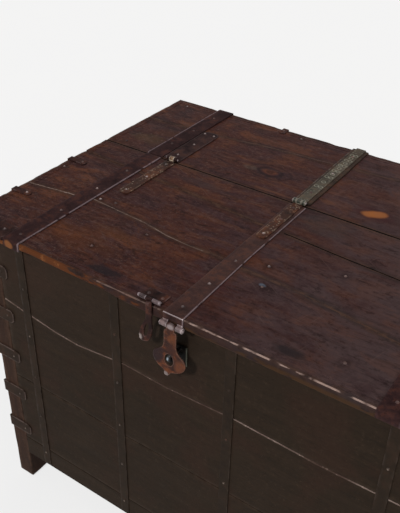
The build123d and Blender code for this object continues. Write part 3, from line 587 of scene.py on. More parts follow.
def markWearAndHighlight(shape, leftHighlightShare=1.0):      # the edge mark: 1 on rounded edges, 0 elsewhere, and only the left share on faces not turned to the right; pale wear with a painted highlight, stronger on right-facing edges
    mark = shape.faces.layers.int.get("bevelled")
    worn = shape.verts.layers.float.get("worn") or shape.verts.layers.float.new("worn")
    shape.normal_update()
    for vert in shape.verts:
        vert[worn] = float(any(face[mark] for face in vert.link_faces))
        if vert.normal.x < 0.1:
            vert[worn] *= leftHighlightShare


def ripple(place, size, seed):      # -1 to 1
    scaled = Vector([part / length for part, length in zip(place, size)])
    return noise.noise(scaled + Vector((seed, 3.1, 7.7)))


def roughen(shape, wave, dent, seed):      # long waves, and small dents that only go inwards
    shape.normal_update()
    moves = []
    for vert in shape.verts:
        depth = wave * ripple(vert.co, (45, 45, 45), seed) - wave * 0.3
        depth -= dent * max(0.0, ripple(vert.co, (9, 9, 9), seed + 20) - 0.05)
        moves.append(vert.normal * depth)
    for vert, move in zip(shape.verts, moves):
        vert.co += move


def forge(shape, look, seed):      # rounded, sliced and hammered
    soften(shape, sharpEdges(shape), look["edge"])
    for axis, step in enumerate(look["steps"]):
        sliceEvery(shape, axis, step)
    markWearAndHighlight(shape, look.get("leftHighlightShare", 1.0))
    roughen(shape, look["wave"], look["dent"], seed)


def piece(name, shape, body, finishes, nodes=(), sharp=35.0):
    bmesh.ops.recalc_face_normals(shape, faces=shape.faces)
    bmesh.ops.scale(shape, vec=(mm, mm, mm), verts=shape.verts)
    mesh = bpy.data.meshes.new(name)
    shape.to_mesh(mesh)
    shape.free()
    for finish in finishes:
        mesh.materials.append(paints[finish])
    mesh.shade_smooth()
    mesh.set_sharp_from_angle(angle=math.radians(sharp))
    made = linked(name, mesh)
    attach(made, body)
    if nodes:
        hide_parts(*nodes)


def wholePlate(half, back, front):      # a plate from the outline of its right half
    shape = bmesh.new()
    slab(shape, half, 1, back, front)
    bmesh.ops.mirror(shape, geom=everything(shape), matrix=Matrix.Identity(4), axis="X", merge_dist=0.01)
    inside = [face for face in shape.faces if abs(face.normal.x) > 0.99 and abs(
        face.calc_center_median().x) < 0.01]
    bmesh.ops.delete(shape, geom=inside, context="FACES")
    bmesh.ops.recalc_face_normals(shape, faces=shape.faces)
    return shape


def mirrored(shape, axis):      # the same again on the other side, facing outwards
    copy = bmesh.ops.duplicate(shape, geom=everything(shape))["geom"]
    bmesh.ops.scale(shape, vec=Vector((1, 1, 1)) - 2 * unit(axis), verts=vertsOf(copy))
    bmesh.ops.recalc_face_normals(shape, faces=shape.faces)


# boards of the top, placed from the lid's left front corner
topSet = {
    "thickness": 22.0, "seamArris": 1.1, "underArris": 4.0,
    "arris": 4.0, "rims": (9.0, 19.0), "rimDepth": 1.0, "step": (10.0, 8.0),
    "lines": {
        "front": [(0, 0), (1120, 0)],
        "firstSeam": [
            (0, 200), (20, 202), (80, 211), (143, 219), (176, 228), (251, 222), (324, 217), (391, 204),
            (449, 200), (519, 202), (587, 196), (716, 193), (837, 176), (916, 164), (1120, 146)],
        "secondSeam": [
            (0, 400), (57, 393), (200, 386), (334, 377), (422, 368), (515, 357), (598, 354),
            (736, 344), (845, 339), (1120, 320)],
        "joint": [(0, 476), (1120, 476)],
        "rearSeam": [
            (0, 648), (211, 664), (332, 682), (528, 698), (569, 703), (694, 713), (900, 727), (1120, 745)],
        "back": [(0, 800), (1120, 800)],
    },
    "undercut": [      # how far up the lower front edge is worn away
        (-560, 0), (-450, 3), (-400, 10), (-350, 12), (-310, 10), (-250, 9), (-160, 8.5), (-115, 3),
        (-90, 0), (560, 0)],
    "undercutDepth": 16.0, "undercutShare": 0.85,
    "nails": (      # where nails are driven straight into the boards
        (295, 85), (359, 182), (860, 66), (643, 166), (16, 305), (225, 243), (755, 290), (1098, 290),
        (48, 500), (45, 770), (400, 776), (1072, 500), (1075, 780), (187, 237), (620, 232)),
    "gaps": {"front": 0.0, "firstSeam": 0.4, "secondSeam": 0.5, "joint": 1.0, "rearSeam": 0.4, "back": 0.0},
    "seamTones": {      # how each seam is painted, up to which place along it: pale is dust with a painted highlight, dark is painted shade in the gap, faint is a duller pale line
        "firstSeam": ((-70.0, "pale"), (endX + 1, "plain")),
        "secondSeam": ((20.0, "plain"), (endX + 1, "dark")),
        "joint": ((endX + 1, "dark"),), "rearSeam": ((endX + 1, "faint"),),
    },
    "boards": [
        ("lidBoardFront", "lid", "front", "firstSeam", "lid_board_front", 0.0),
        ("lidBoardMiddle", "lid", "firstSeam", "secondSeam", "lid_board_middle", 0.5),
        ("lidBoardRear", "lid", "secondSeam", "joint", "lid_board_rear", 0.1),
        ("rearBoardFront", "chest", "joint", "rearSeam", "rear_top_board_front", 0.3),
        ("rearBoardBack", "chest", "rearSeam", "back", "rear_top_board_back", 0.0),
    ],
}


def lineAt(line, x):      # height of a seam line at one place
    for (x0, y0), (x1, y1) in zip(line, line[1:]):
        if x <= x1:
            return y0 + (y1 - y0) * (x - x0) / (x1 - x0)
    return line[-1][1]


def topBoard(name, body, front, back, node, sunk, seed):
    look = topSet
    lines, gaps, bottom = look["lines"], look["gaps"], topZ - look["thickness"]
    outline = [(x - endX, y - edgeY + gaps[front]) for x, y in lines[front]]
    outline += [(x - endX, y - edgeY - gaps[back]) for x, y in reversed(lines[back])]
    shape = bmesh.new()
    slab(shape, outline, 2, bottom, topZ)

    def fromEdge(place):
        sides = [place.x + endX, endX - place.x]
        sides += [place.y + edgeY] if front == "front" else []
        sides += [edgeY - place.y] if back == "back" else []
        return min(sides)

    def high(place):
        return place.z > topZ - 0.1

    def outer(place):
        return fromEdge(place) < 0.1

    top = pick(sharpEdges(shape), high)
    rim = pick(top, outer)
    soften(shape, [edge for edge in top if edge not in rim], look["seamArris"], 1)
    soften(shape, pick(pick(sharpEdges(shape, 1.2), high), outer), look["arris"], 3)
    under = pick(sharpEdges(shape, 1.2), lambda place: place.z < topZ - 20)
    soften(shape, pick(under, outer), look["underArris"], 3)
    if front == "front":
        sliceUp(shape, 2, [bottom + rise for rise in range(5, 15, 2)])
    for axis, step in enumerate(look["step"]):
        sliceEvery(shape, axis, step)
    for inset in [rim + aside for rim in look["rims"] for aside in (-1.2, 0.0, 1.2)]:
        sliceUp(shape, 0, (inset - endX, endX - inset))
        if front == "front":
            sliceUp(shape, 1, (inset - edgeY,))
        if back == "back":
            sliceUp(shape, 1, (edgeY - inset,))
    markWearAndHighlight(shape)
    worn = shape.verts.layers.float["worn"]
    seam = shape.verts.layers.float.new("seam")
    stain = shape.verts.layers.float.new("stain")
    shape.normal_update()
    for vert in shape.verts:
        place, up = vert.co.copy(), vert.normal.z
        across = [abs(place.y + edgeY - lineAt(lines[key], place.x + endX)) for key in (front, back)]
        vert[seam] = min(across) / 100.0
        inset = fromEdge(place)
        nail = min((place.xy - Vector((x - endX, y - edgeY))).length for x, y in look["nails"])
        vert[stain] = max(0.0, 1.0 - max(0.0, nail - 5.0) / 9.0) if up > 0.3 else 0.0
        if up > 0.3:
            vert.co.z -= sunk + 0.5 + 0.5 * ripple(place, (150, 45, 90), seed)
            vert.co.z -= 0.35 * max(0.0, ripple(place, (60, 7, 30), seed + 5))
            if any(abs(inset - rim) < 0.3 for rim in look["rims"]):
                vert.co.z -= look["rimDepth"] * (0.8 + 0.5 * ripple(place, (40, 40, 40), seed + 9))
            vert[worn] = max(vert[worn], 0.55 * max(0.0, 1.0 - inset / 14.0))
        if inset < 5.0 and place.z > topZ - 6:      # chips and rubbed places along the outer arris
            chip = max(0.0, ripple(place, (26, 26, 26), seed + 31) - 0.1) * 3.0
            away = Vector((-math.copysign(1, place.x) if abs(place.x) > endX - 5 else 0, 0, -1))
            if place.y < 5 - edgeY:
                away.y = 1
            elif place.y > edgeY - 5:
                away.y = -1
            vert.co += away * chip * 0.7
        elif abs(up) < 0.9 and min(across) < 3.0:      # unplaned seam edges
            vert.co.y += 0.5 * ripple(place, (9, 30, 30), seed + 12)
    if front == "front":      # the lower front edge is worn away on the left
        for vert in shape.verts:
            below = bottom + lineAt(look["undercut"], vert.co.x) - vert.co.z
            cut = look["undercutShare"] * max(0.0, below)
            inward, deep = vert.co.y + edgeY, look["undercutDepth"]
            if inward < deep:
                vert.co.y = cut - edgeY + inward * (1 - cut / deep)
    for face in shape.faces:
        middle = face.calc_center_median()
        if face.normal.z < -0.9 and middle.z < bottom + 1:
            face.material_index = 4
        for key in (front, back):
            away = abs(middle.y + edgeY - lineAt(lines[key], middle.x + endX))
            if away > 2.0 or key in ("front", "back") or middle.z < topZ - 18:
                continue
            tone = next(tone for end, tone in look["seamTones"][key] if middle.x < end)
            if tone != "plain":
                face.material_index = {"pale": 1, "faint": 3}.get(tone, 2) if face.normal.z > 0.2 else 2
    finishes = ("topWood", "seamDustAndHighlight", "seamShade", "seamWorn", "insideWood")
    piece(name, shape, body, finishes, (node,))


for seed, (name, body, front, back, node, sunk) in enumerate(topSet["boards"]):
    topBoard(name, body, front, back, node, sunk, seed * 11.3)
print("top boards done")


# walls and posts
levels = ("upper", "middle", "lower")
wallSet = {
    "thickness": 24.0, "post": (47.0, 60.0), "top": 778.0,
    "seams": (592.0, 374.0), "bottom": 156.0, "step": 14.0, "gap": 0.5, "ledge": 1.9, "foot": 4.0,
    "frontSeam": [      # the upper seam of the front wall: from the left end of the wall, above the floor
        (-487, 605), (-425, 593), (-405, 591), (-340, 580), (-273, 575), (-177, 586), (-144, 589),
        (-40, 584), (120, 592), (300, 586), (487, 590)],
}


def wallLine(side, level, reach):      # a gently wandering seam between two boards
    if side == "front" and level == wallSet["seams"][0]:
        return wallSet["frontSeam"]
    places = [-reach + 2 * reach * turn / 9 for turn in range(10)]
    return [
        (place, level + 4.0 * ripple((place, 0, level), (160, 1, 50), len(side) * 3.3)) for place in places]


def wallBoard(side, level, seed):
    look, gap, faces = wallSet, wallSet["gap"], (wallX, wallY)
    long, out = side in ("front", "back"), 1 if side in ("back", "right") else -1
    along, across = (0, 1) if long else (1, 0)
    reach = faces[along] - look["post"][along]
    lines = [wallLine(side, seam, reach) for seam in look["seams"]]
    lines = [[(-reach, look["top"]), (reach, look["top"])], *lines, [
        (-reach, look["bottom"]), (reach, look["bottom"])]]
    above, below = lines[levels.index(level):][:2]
    outline = [(place, height - gap) for place, height in above]
    outline += [(place, height + gap) for place, height in reversed(below)]
    face = out * faces[across]
    shape = bmesh.new()
    slab(shape, outline, across, face - out * look["thickness"], face)
    paleLedge = side == "front" and level == "middle"      # its upper edge is a ledge, painted pale: dust with a painted highlight
    if paleLedge:
        soften(shape, pick(shape.edges, lambda place: abs(place.y - face) < 0.01 and abs(
            place.z + gap - lineAt(above, place.x)) < 0.5), look["ledge"], 1)
    soften(shape, sharpEdges(shape, 0.9), 1.2, 2)
    bmesh.ops.recalc_face_normals(shape, faces=shape.faces)
    sliceEvery(shape, along, look["step"])
    sliceEvery(shape, 2, look["step"] * 0.8)
    markWearAndHighlight(shape)
    shape.normal_update()
    stretch = (140, 60, 30) if long else (60, 140, 30)
    for vert in shape.verts:
        depth = -0.7 + 0.7 * ripple(vert.co, stretch, seed) - 0.4 * max(0.0, ripple(
            vert.co, tuple(part / 5 for part in stretch), seed + 4))
        vert.co += vert.normal * depth * 0.8
    name = side + "Board" + level.capitalize()
    finishes = ("wallWood", "seamDustAndHighlight", "insideWood") if long else (
        "endWallWood", "seamDustAndHighlight", "endInsideWood")
    shape.normal_update()
    paintFaces(shape, 2, lambda middle, normal: normal[across] * out < -0.5)
    # the ledge's upward faces: pale dust with a painted highlight
    if paleLedge:
        paintFaces(shape, 1, lambda middle, normal: normal.z > 0.2 and middle.y < face + 3.0 and abs(
            middle.z - lineAt(above, middle.x)) < look["ledge"] + 1.0)
    piece(name, shape, "chest", finishes, (side + "_board_" + level,))


for turn, side in enumerate(("front", "back", "left", "right")):
    for step, level in enumerate(levels):
        wallBoard(side, level, 5.0 + turn * 7.1 + step * 2.3)


def cornerPost(endName, sideName, seed):
    look = wallSet
    side = -1 if sideName == "left" else 1
    end = -1 if endName == "front" else 1
    wide, deep = look["post"]
    x = sorted((side * wallX, side * (wallX - wide)))
    y = sorted((end * wallY, end * (wallY - deep)))
    shape = bmesh.new()
    box(shape, (x[0], y[0], 0), (x[1], y[1], look["top"]))
    soften(shape, pick(shape.edges, lambda place: place.z < 1), look["foot"], 2)
    soften(shape, sharpEdges(shape, 1.2), 3.0, 3)
    for axis in (2, 0, 1):
        sliceEvery(shape, axis, 12.0)
    markWearAndHighlight(shape)
    shape.normal_update()
    for vert in shape.verts:
        depth = -0.8 + 0.8 * ripple(vert.co, (30, 30, 150), seed)
        depth -= 1.6 * max(0.0, ripple(vert.co, (14, 14, 40), seed + 9) - 0.15)
        if vert.co.z > 1.0:
            vert.co += vert.normal * depth * 0.8
    name = "post" + endName.capitalize() + sideName.capitalize()
    piece(name, shape, "chest", ("postWood",), ("corner_post_" + endName + "_" + sideName,))


for turn, (endName, sideName) in enumerate((
        ("front", "left"), ("front", "right"), ("back", "left"), ("back", "right"))):
    cornerPost(endName, sideName, 40.0 + turn * 5.7)
print("walls and posts done")


# the frame's own pieces that stay: rails, floor, battens, cross rail
keptFinish = {
    "bottom_rail_front": "wallWood", "bottom_rail_back": "wallWood",
    "bottom_rail_left": "endWallWood", "bottom_rail_right": "endWallWood",
    "floor_boards": "floorWood", "lid_battens": "floorWood", "top_cross_rail": "railWood",
}
for node, finish in keptFinish.items():
    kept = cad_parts[node]
    kept.data.materials.clear()
    kept.data.materials.append(paints[finish])
    weld = kept.modifiers.new("weld", "WELD")
    weld.merge_threshold = 0.00001
    bevel = kept.modifiers.new("bevel", "BEVEL")
    bevel.width, bevel.segments, bevel.limit_method = 1.5 * mm, 2, "ANGLE"
    bevel.angle_limit, bevel.harden_normals = math.radians(40), False
print("kept pieces finished")


# straps of the top
strapSet = {
    "width": 44.0, "thickness": 3.0, "drop": 17.0, "bend": 3.0, "edge": 0.8,
    # left-facing edges keep only leftHighlightShare of the pale edge mark and its painted highlight
    "wave": 0.5, "dent": 0.35, "steps": (7.3, 7.0, 40.0), "offset": 406.0, "leftHighlightShare": 0.35,
    "lidStart": 73.5, "rearStart": 78.5, "centreStarts": (67.0, 85.0), "centreDrop": 11.0,
    "centreEdges": [(-405, -22, 22), (-330, -22, 20), (-170, -23, 16), (68, -24, 16)],
    "rearEdges": [(84, -24, 17), (220, -25, 17), (405, -26, 15)],
}


def bentBar(shape, x, width, low, thickness, start, end, drop, bend):      # turned down over an edge
    outer, inner = end * (edgeY + low + thickness - topZ), end * (edgeY + low - topZ)
    outline = [
        (start, low), (start, low + thickness), (outer, low + thickness),
        (outer, topZ - drop), (inner, topZ - drop), (inner, low)]
    slab(shape, outline, 0, x - width / 2, x + width / 2)
    turn = pick(shape.edges, lambda place: abs(place.y - outer) < 0.01 and abs(
        place.z - low - thickness) < 0.01)
    bmesh.ops.bevel(
        shape, geom=turn, affect="EDGES", offset=bend, segments=4, profile=0.5, material=-1)


def wander(shape, edges):      # a hand-made strap isn't straight: its left and right edge along Y
    half = strapSet["width"] / 2
    for vert in shape.verts:
        for (y0, left0, right0), (y1, left1, right1) in zip(edges, edges[1:]):
            if y0 <= vert.co.y <= y1 and vert.co.z > topZ - 3:
                share = (vert.co.y - y0) / (y1 - y0)
                left, right = left0 + (left1 - left0) * share, right0 + (right1 - right0) * share
                vert.co.x = left + (vert.co.x + half) / (2 * half) * (right - left)
                break


def topStrap(name, body, x, start, end, node, seed, finish="strapIron", edges=()):
    look = strapSet
    shape = bmesh.new()
    bentBar(shape, x, look["width"], topZ, look["thickness"], start, end, look["drop"], look["bend"])
    forge(shape, look, seed)
    wander(shape, edges)
    piece(name, shape, body, (finish,), (node,))


haspSet = {
    "pin": (0.0, -406.0, 780.0), "barrel": 5.5, "length": 50.0, "knuckle": 18.0, "pinRadius": 2.2,
    "thickness": 3.0, "lean": -5.0, "curl": 1.9,
    "half": [      # right half of the plate, from the pin downwards
        (9, -1), (9, -8.5), (12.6, -9.5), (14, -14), (13.7, -30), (14, -46), (17.2, -55), (24, -61.5),
        (32.0, -67.5), (36.2, -74), (37, -81), (35.4, -88.5), (31.0, -95), (25.4, -100.5), (18.5, -104.5),
        (11.5, -107.4), (7.0, -110), (6.0, -114.5), (3.8, -118.2), (0, -119)],
    "hole": [(0, -95), (5.2, -93), (8.9, -87.2), (10, -80), (8.9, -72.8), (5.2, -67), (0, -65)],
    "edge": 0.8, "wave": 0.35, "dent": 0.3, "steps": (4.0, 40.0, 4.0),
}


def near(place, axis, reach):      # within reach of an axis along X
    return math.hypot(place.y - axis[0], place.z - axis[1]) < reach


def centreStrap():      # the lid's middle strap, ending in the knuckles that carry the hasp
    look, start = strapSet, strapSet["centreStarts"][0]
    pin, barrel = haspSet["pin"], haspSet["barrel"]
    shape = bmesh.new()
    bentBar(shape, 0.0, look["width"], topZ, look["thickness"], start, -1, look["centreDrop"], look["bend"])
    ear = haspSet["knuckle"] / 2 + 0.5
    for side in (-1, 1):
        ends = sorted((side * ear, side * look["width"] / 2))
        box(shape, (ends[0], -edgeY - 4, 780.0), (ends[1], -edgeY, 790.0))
        rod(shape, barrel, *sorted((side * ear, side * haspSet["length"] / 2)), pin[1], pin[2])
    forge(shape, look, 3.0)
    wander(shape, look["centreEdges"])
    # the front bend: rubbed bare, with a painted highlight
    paintFaces(shape, 2, lambda middle, normal: middle.y < -edgeY - 1.2 and middle.z > topZ + 0.6)
    # the knuckles: pale, with a painted highlight
    paintFaces(shape, 1, lambda middle, normal: near(
        middle, pin[1:], barrel + 0.5) and middle.y < -edgeY - 0.5)
    finishes = ("strapIronRed", "pinIron", "bendRubbedAndHighlight")
    piece("lidStrapCentre", shape, "lid", finishes, ("lid_strap_centre",))


for name, side in (("left", -1), ("right", 1)):
    x = side * strapSet["offset"]
    cap = name.capitalize()
    topStrap("lidStrap" + cap, "lid", x, strapSet["lidStart"], -1, "lid_strap_" + name, 6.0 + side)
    topStrap("rearStrap" + cap, "chest", x, strapSet["rearStart"], 1, "rear_strap_" + name, 16.0 + side)
topStrap(
    "rearStrapCentre", "chest", 0.0, strapSet["centreStarts"][1], 1, "rear_strap_centre", 26.0, "oliveStrap",
    strapSet["rearEdges"])
centreStrap()
print("straps done")


# strap hinges
hingeSet = {
    "axis": (76.0, 808.0), "barrel": 6.0, "length": 30.0, "middle": 12.0, "gap": 0.5, "clear": 0.6,
    "thickness": 2.4, "web": 1.6, "offset": 351.0, "centre": -5.0,
    "sideLid": (26.0, 190.0), "sideRear": (46.0, 188.0), "rearShift": 8.0,
    "centreLid": (24.0, 172.0), "centreRear": 24.0, "centreDrop": 16.0, "cut": 0.2,
    "edge": 0.8, "wave": 0.4, "dent": 0.4, "steps": (5.0, 5.0, 40.0), "bend": 4.0, "pinRadius": 2.5,
}


def knuckles(owner):
    look = hingeSet
    if owner < 0:
        return [(0.0, look["middle"])]
    length = (look["length"] - look["middle"]) / 2 - look["gap"]
    return [(side * (look["length"] - length) / 2, length) for side in (-1, 1)]


def hingeLeaf(name, owner, x, leafX, size, low, body, finishes, node, seed, drop=0.0):
    look = hingeSet
    axisY, axisZ = look["axis"]
    width, length = size
    start = axisY + owner * (look["barrel"] + look["clear"])
    shape = bmesh.new()
    if drop:
        bentBar(shape, leafX, width, low, look["thickness"], start, owner, drop, look["bend"])
    else:
        far, cut, half = axisY + owner * length, look["cut"] * width, width / 2
        outline = [
            (leafX - half, start), (leafX + half, start), (leafX + half, far - owner * cut),
            (leafX + half - cut, far), (leafX - half + cut, far), (leafX - half, far - owner * cut)]
        slab(shape, outline, 2, low, low + look["thickness"])
    ends = sorted((axisY, start))
    for shift, long in knuckles(owner):
        left, right = x + shift - long / 2, x + shift + long / 2
        rod(shape, look["barrel"], left, right, axisY, axisZ)
        box(shape, (left, ends[0], low + 0.2), (
            right, ends[1] + (1.5 if owner > 0 else 0), axisZ - look["web"]))
    forge(shape, look, seed)
    paintFaces(shape, 1, lambda middle, normal: near(middle, look["axis"], look["barrel"] + 0.8))
    piece(name, shape, body, finishes, (node,))


for sideName, side in (("left", -1), ("right", 1)):
    x = side * hingeSet["offset"]
    cap = sideName.capitalize()
    hingeLeaf(
        "lidLeaf" + cap, -1, x, x, hingeSet["sideLid"], topZ, "lid", ("rustyLeaf", "brightKnuckle"),
        "lid_hinge_leaf_" + sideName, 31.0 + side)
    hingeLeaf(
        "rearLeaf" + cap, 1, x, x + side * hingeSet["rearShift"], hingeSet["sideRear"], topZ, "chest",
        ("darkLeaf", "linkIron"), "rear_hinge_leaf_" + sideName, 36.0 + side)
centreX = hingeSet["centre"]
strapTop = topZ + strapSet["thickness"]
hingeLeaf(
    "lidLeafCentre", -1, centreX, centreX, hingeSet["centreLid"], strapTop, "lid",
    ("rustyLeaf", "darkKnuckle"), "lid_hinge_leaf_centre", 41.0)
hingeLeaf(
    "rearLeafCentre", 1, centreX, centreX, (hingeSet["centreRear"], 0.0), strapTop, "chest",
    ("patinaLeaf", "darkKnuckle"), "rear_hinge_leaf_centre", 44.0, hingeSet["centreDrop"])


# a hammered head at the left of each, a plain end at the right
def pinSet(name, body, pins, node, finish="pinIron"):
    shape = bmesh.new()
    for radius, length, x, y, z in pins:
        rod(shape, radius, x - length / 2, x + length / 2 + 1.0, y, z, 12)
        rod(shape, radius + 1.6, x - length / 2 - 1.6, x - length / 2, y, z, 6)
    soften(shape, sharpEdges(shape), 0.5, 2)
    markWearAndHighlight(shape)
    roughen(shape, 0.15, 0.1, 51.0)
    piece(name, shape, body, (finish,), (node,))


pinSet("hingePins", "chest", [
    (hingeSet["pinRadius"], hingeSet["length"], x, *hingeSet["axis"]) for x in (
        -hingeSet["offset"], centreX, hingeSet["offset"])], "lid_hinge_pins")
print("hinges done")


# hasp, staple and its plate
def haspPlate():
    look = haspSet
    half = [(0, -1)] + look["half"] + look["hole"]
    shape = wholePlate(half, -look["barrel"], -look["barrel"] + look["thickness"])
    forge(shape, look, 61.0)
    for vert in shape.verts:      # a slight lean to the left, and the nose curled outwards
        depth = max(0.0, -vert.co.z - 14.0)
        vert.co.x += look["lean"] * (depth / 80.0)
        curl = max(0.0, -vert.co.z - 100.0) / 22.0
        vert.co.x -= 4.0 * curl
        vert.co.y += 1.6 * min(1.0, depth / 40.0) - look["curl"] * curl * curl
    rod(shape, look["barrel"], -look["knuckle"] / 2, look["knuckle"] / 2, 0.0, 0.0)
    bmesh.ops.translate(shape, vec=look["pin"], verts=shape.verts)
    piece("haspPlate", shape, "hasp", ("haspIron",), ("hasp",))


haspPlate()
pinSet("haspPin", "lid", [(haspSet["pinRadius"], haspSet["length"], *haspSet["pin"])], "hasp_pin")

stapleSet = {
    "bar": 7.0, "bend": 7.0, "tip": -410.5, "lean": -7.0, "z": 700.0, "legEnd": -346.0,
    "plate": (26.0, 46.0, 3.0), "plateMiddle": 690.0, "nails": (7.5, 673.5),
}


def stapleBar():      # a square bar bent round, both legs in the wall
    look = stapleSet
    shape = bmesh.new()
    half = look["bar"] / 2
    centre = look["tip"] + half + look["bend"]
    corners = [shape.verts.new((x, look["legEnd"], look["z"] + look["bend"] + z)) for x, z in (
        (-half, -half), (half, -half), (half, half), (-half, half))]
    face = shape.faces.new(corners)

    def onwards(parts):
        return [part for part in parts if isinstance(part, bmesh.types.BMFace)]

    grown = bmesh.ops.extrude_face_region(shape, geom=[face])["geom"]
    bmesh.ops.translate(shape, vec=(0, centre - look["legEnd"], 0), verts=vertsOf(grown))
    bend = bmesh.ops.spin(
        shape, geom=onwards(grown), cent=(0, centre, look["z"]), axis=(1, 0, 0),
        angle=math.pi, steps=10, use_duplicate=False)["geom_last"]
    grown = bmesh.ops.extrude_face_region(shape, geom=onwards(bend))["geom"]
    bmesh.ops.translate(shape, vec=(0, look["legEnd"] - centre, 0), verts=vertsOf(grown))
    bmesh.ops.recalc_face_normals(shape, faces=shape.faces)
    soften(shape, sharpEdges(shape, 1.0), 2.4, 3)
    markWearAndHighlight(shape)
    for vert in shape.verts:      # bent a little to the left at its tip
        vert.co.x += look["lean"] * max(0.0, (-380.0 - vert.co.y) / 31.0)
    roughen(shape, 0.25, 0.2, 71.0)
    piece("stapleBar", shape, "chest", ("stapleShadowAndGlint",), ("staple",))


def staplePlate():
    look = stapleSet
    width, height, thick = look["plate"]
    shape = bmesh.new()
    low = look["plateMiddle"] - height / 2
    box(shape, (-width / 2, -wallY - thick, low), (width / 2, -wallY, low + height))
    # little edge mark on the left, so the painted highlight falls on the plate's right edge
    forge(shape, {"edge": 0.9, "steps": (5.0, 40.0, 5.0), "wave": 0.3, "dent": 0.3, "leftHighlightShare": 0.2}, 75.0)
    piece("staplePlate", shape, "chest", ("plateInPaintedShadow",), ("staple_plate",))


stapleBar()
staplePlate()


# slotted hasp and its leaf
linkSet = {
    "x": -59.0, "pin": (-393.0, 807.0), "pinRadius": 2.2, "barrel": 3.9, "length": 48.0,
    "knuckle": 14.0, "leafThickness": 2.5,
    "back": -402.0, "thickness": 3.5, "twist": 11.0, "aside": 6.5, "lean": 0.2,
    "half": [
        (0, 802), (6.6, 803.5), (7.0, 796), (7.0, 782), (7.2, 771), (8.2, 765), (10.6, 757), (12.4, 747),
        (13.0, 737), (12.4, 728), (9.8, 720.5), (5.8, 716.5), (0, 715.5)],
    "slot": [(0, 727.0), (2.4, 728.5), (3.4, 733), (3.6, 743), (3.2, 752), (2.0, 758), (0, 759.5)],
    "edge": 0.9, "wave": 0.3, "dent": 0.3, "steps": (3.6, 40.0, 4.0),
}


def slottedHasp():
    look = linkSet
    axisY, axisZ = look["pin"]
    shape = wholePlate(look["half"] + look["slot"], look["back"] - look["thickness"], look["back"])
    low = axisZ - 5.0
    box(shape, (-6.8, look["back"] - look["thickness"], low), (6.8, axisY, low + look["thickness"]))
    forge(shape, look, 81.0)
    for vert in shape.verts:      # the bar hangs right of its knuckle, the loop twists out of its plane
        share = max(0.0, 775.0 - vert.co.z) / 60.0
        turn = math.radians(look["twist"]) * min(1.0, share)
        across = vert.co.x
        vert.co.x = across * math.cos(turn) + look["aside"] * min(1.0, (axisY - vert.co.y) / 10.0)
        vert.co.x -= look["lean"] * max(0.0, 771.0 - vert.co.z)
        vert.co.y += (across - 12.0) * math.sin(turn)
    rod(shape, look["barrel"], -look["knuckle"] / 2, look["knuckle"] / 2, axisY, axisZ)
    bmesh.ops.translate(shape, vec=(look["x"], 0, 0), verts=shape.verts)
    piece("slottedHasp", shape, "slotted_hasp", ("linkIron",), ("slotted_hasp",))


def slottedHaspLeaf():
    look = linkSet
    axisY, axisZ = look["pin"]
    half, start = look["length"] / 2, axisY + 5.6
    shape = bmesh.new()
    box(shape, (-half, start, topZ), (half, axisY + 34.0, topZ + look["leafThickness"]))
    side = half - look["knuckle"] / 2 - 0.5
    for sign in (-1, 1):
        ends = sorted((sign * half, sign * (half - side)))
        rod(shape, look["barrel"], ends[0], ends[1], axisY, axisZ)
        box(shape, (ends[0], axisY, topZ + 0.2), (ends[1], start + 1.0, axisZ - 1.6))
    forge(shape, look | {"steps": (5.0, 5.0, 40.0)}, 85.0)
    bmesh.ops.translate(shape, vec=(look["x"], 0, 0), verts=shape.verts)
    paintFaces(shape, 1, lambda middle, normal: near(middle, look["pin"], look["barrel"] + 0.8))
    piece("slottedHaspLeaf", shape, "lid", ("clipIron", "dullPin"), ("slotted_hasp_leaf",))


slottedHasp()
slottedHaspLeaf()
pinSet("slottedHaspPin", "lid", [
    (linkSet["pinRadius"], linkSet["length"], linkSet["x"], *linkSet["pin"])],
    "slotted_hasp_pin", "dullPin")
print("hasps done")


# corner plates, clips, bands and corner straps
plateSet = {
    "corner": {"inner": 429.6, "depth": 45.0, "frontDrop": 6.0},
    "clip": {"width": 16.0, "length": 50.0, "places": (-240.9, -57.0), "back": 218.4, "cut": 5.0},
    "band": {"width": 23.0, "thickness": 2.0, "low": 100.0, "high": 776.0,
             "front": (-417.0, -162.4, 107.5, 417.0), "ends": (-180.0, 180.0)},
    "angle": {"height": 34.0, "leg": 70.0, "cut": 7.0, "levels": (680.0, 558.0, 436.0, 314.0, 192.0)},
    "thickness": 2.5, "drop": 14.0, "forge": {"edge": 0.7, "wave": 0.35, "dent": 0.3},
}


def ironwork(name, shape, body, finish, node, steps, seed, both=True, behind=False):
    forge(shape, plateSet["forge"] | {"steps": steps}, seed)
    if both:
        mirrored(shape, 0)
    if behind:
        bmesh.ops.scale(shape, vec=(1.0, -1.0, 1.0), verts=shape.verts)
    piece(name, shape, body, (finish,), (node,))


def clipped(start, end, low, high, cut):      # an outline with two corners clipped at its far end
    return [
        (start, low), (end - cut, low), (end, low + cut), (end, high - cut), (end - cut, high), (start, high)]


def cornerPlates():
    look, t, drop = plateSet["corner"], plateSet["thickness"], plateSet["drop"]
    shape = bmesh.new()
    corner, rear = (-endX - t, -edgeY - t), look["depth"] - edgeY
    box(shape, (*corner, topZ), (-look["inner"], rear, topZ + 0.8 * t))
    box(shape, (*corner, topZ - look["frontDrop"]), (-look["inner"], -edgeY, topZ + 0.6))
    box(shape, (*corner, topZ - drop), (-endX, rear, topZ + 0.6))
    ironwork(
        "cornerPlates", shape, "lid", "clipIron", "lid_corner_plates", (7.0, 6.0, 7.0), 91.0)


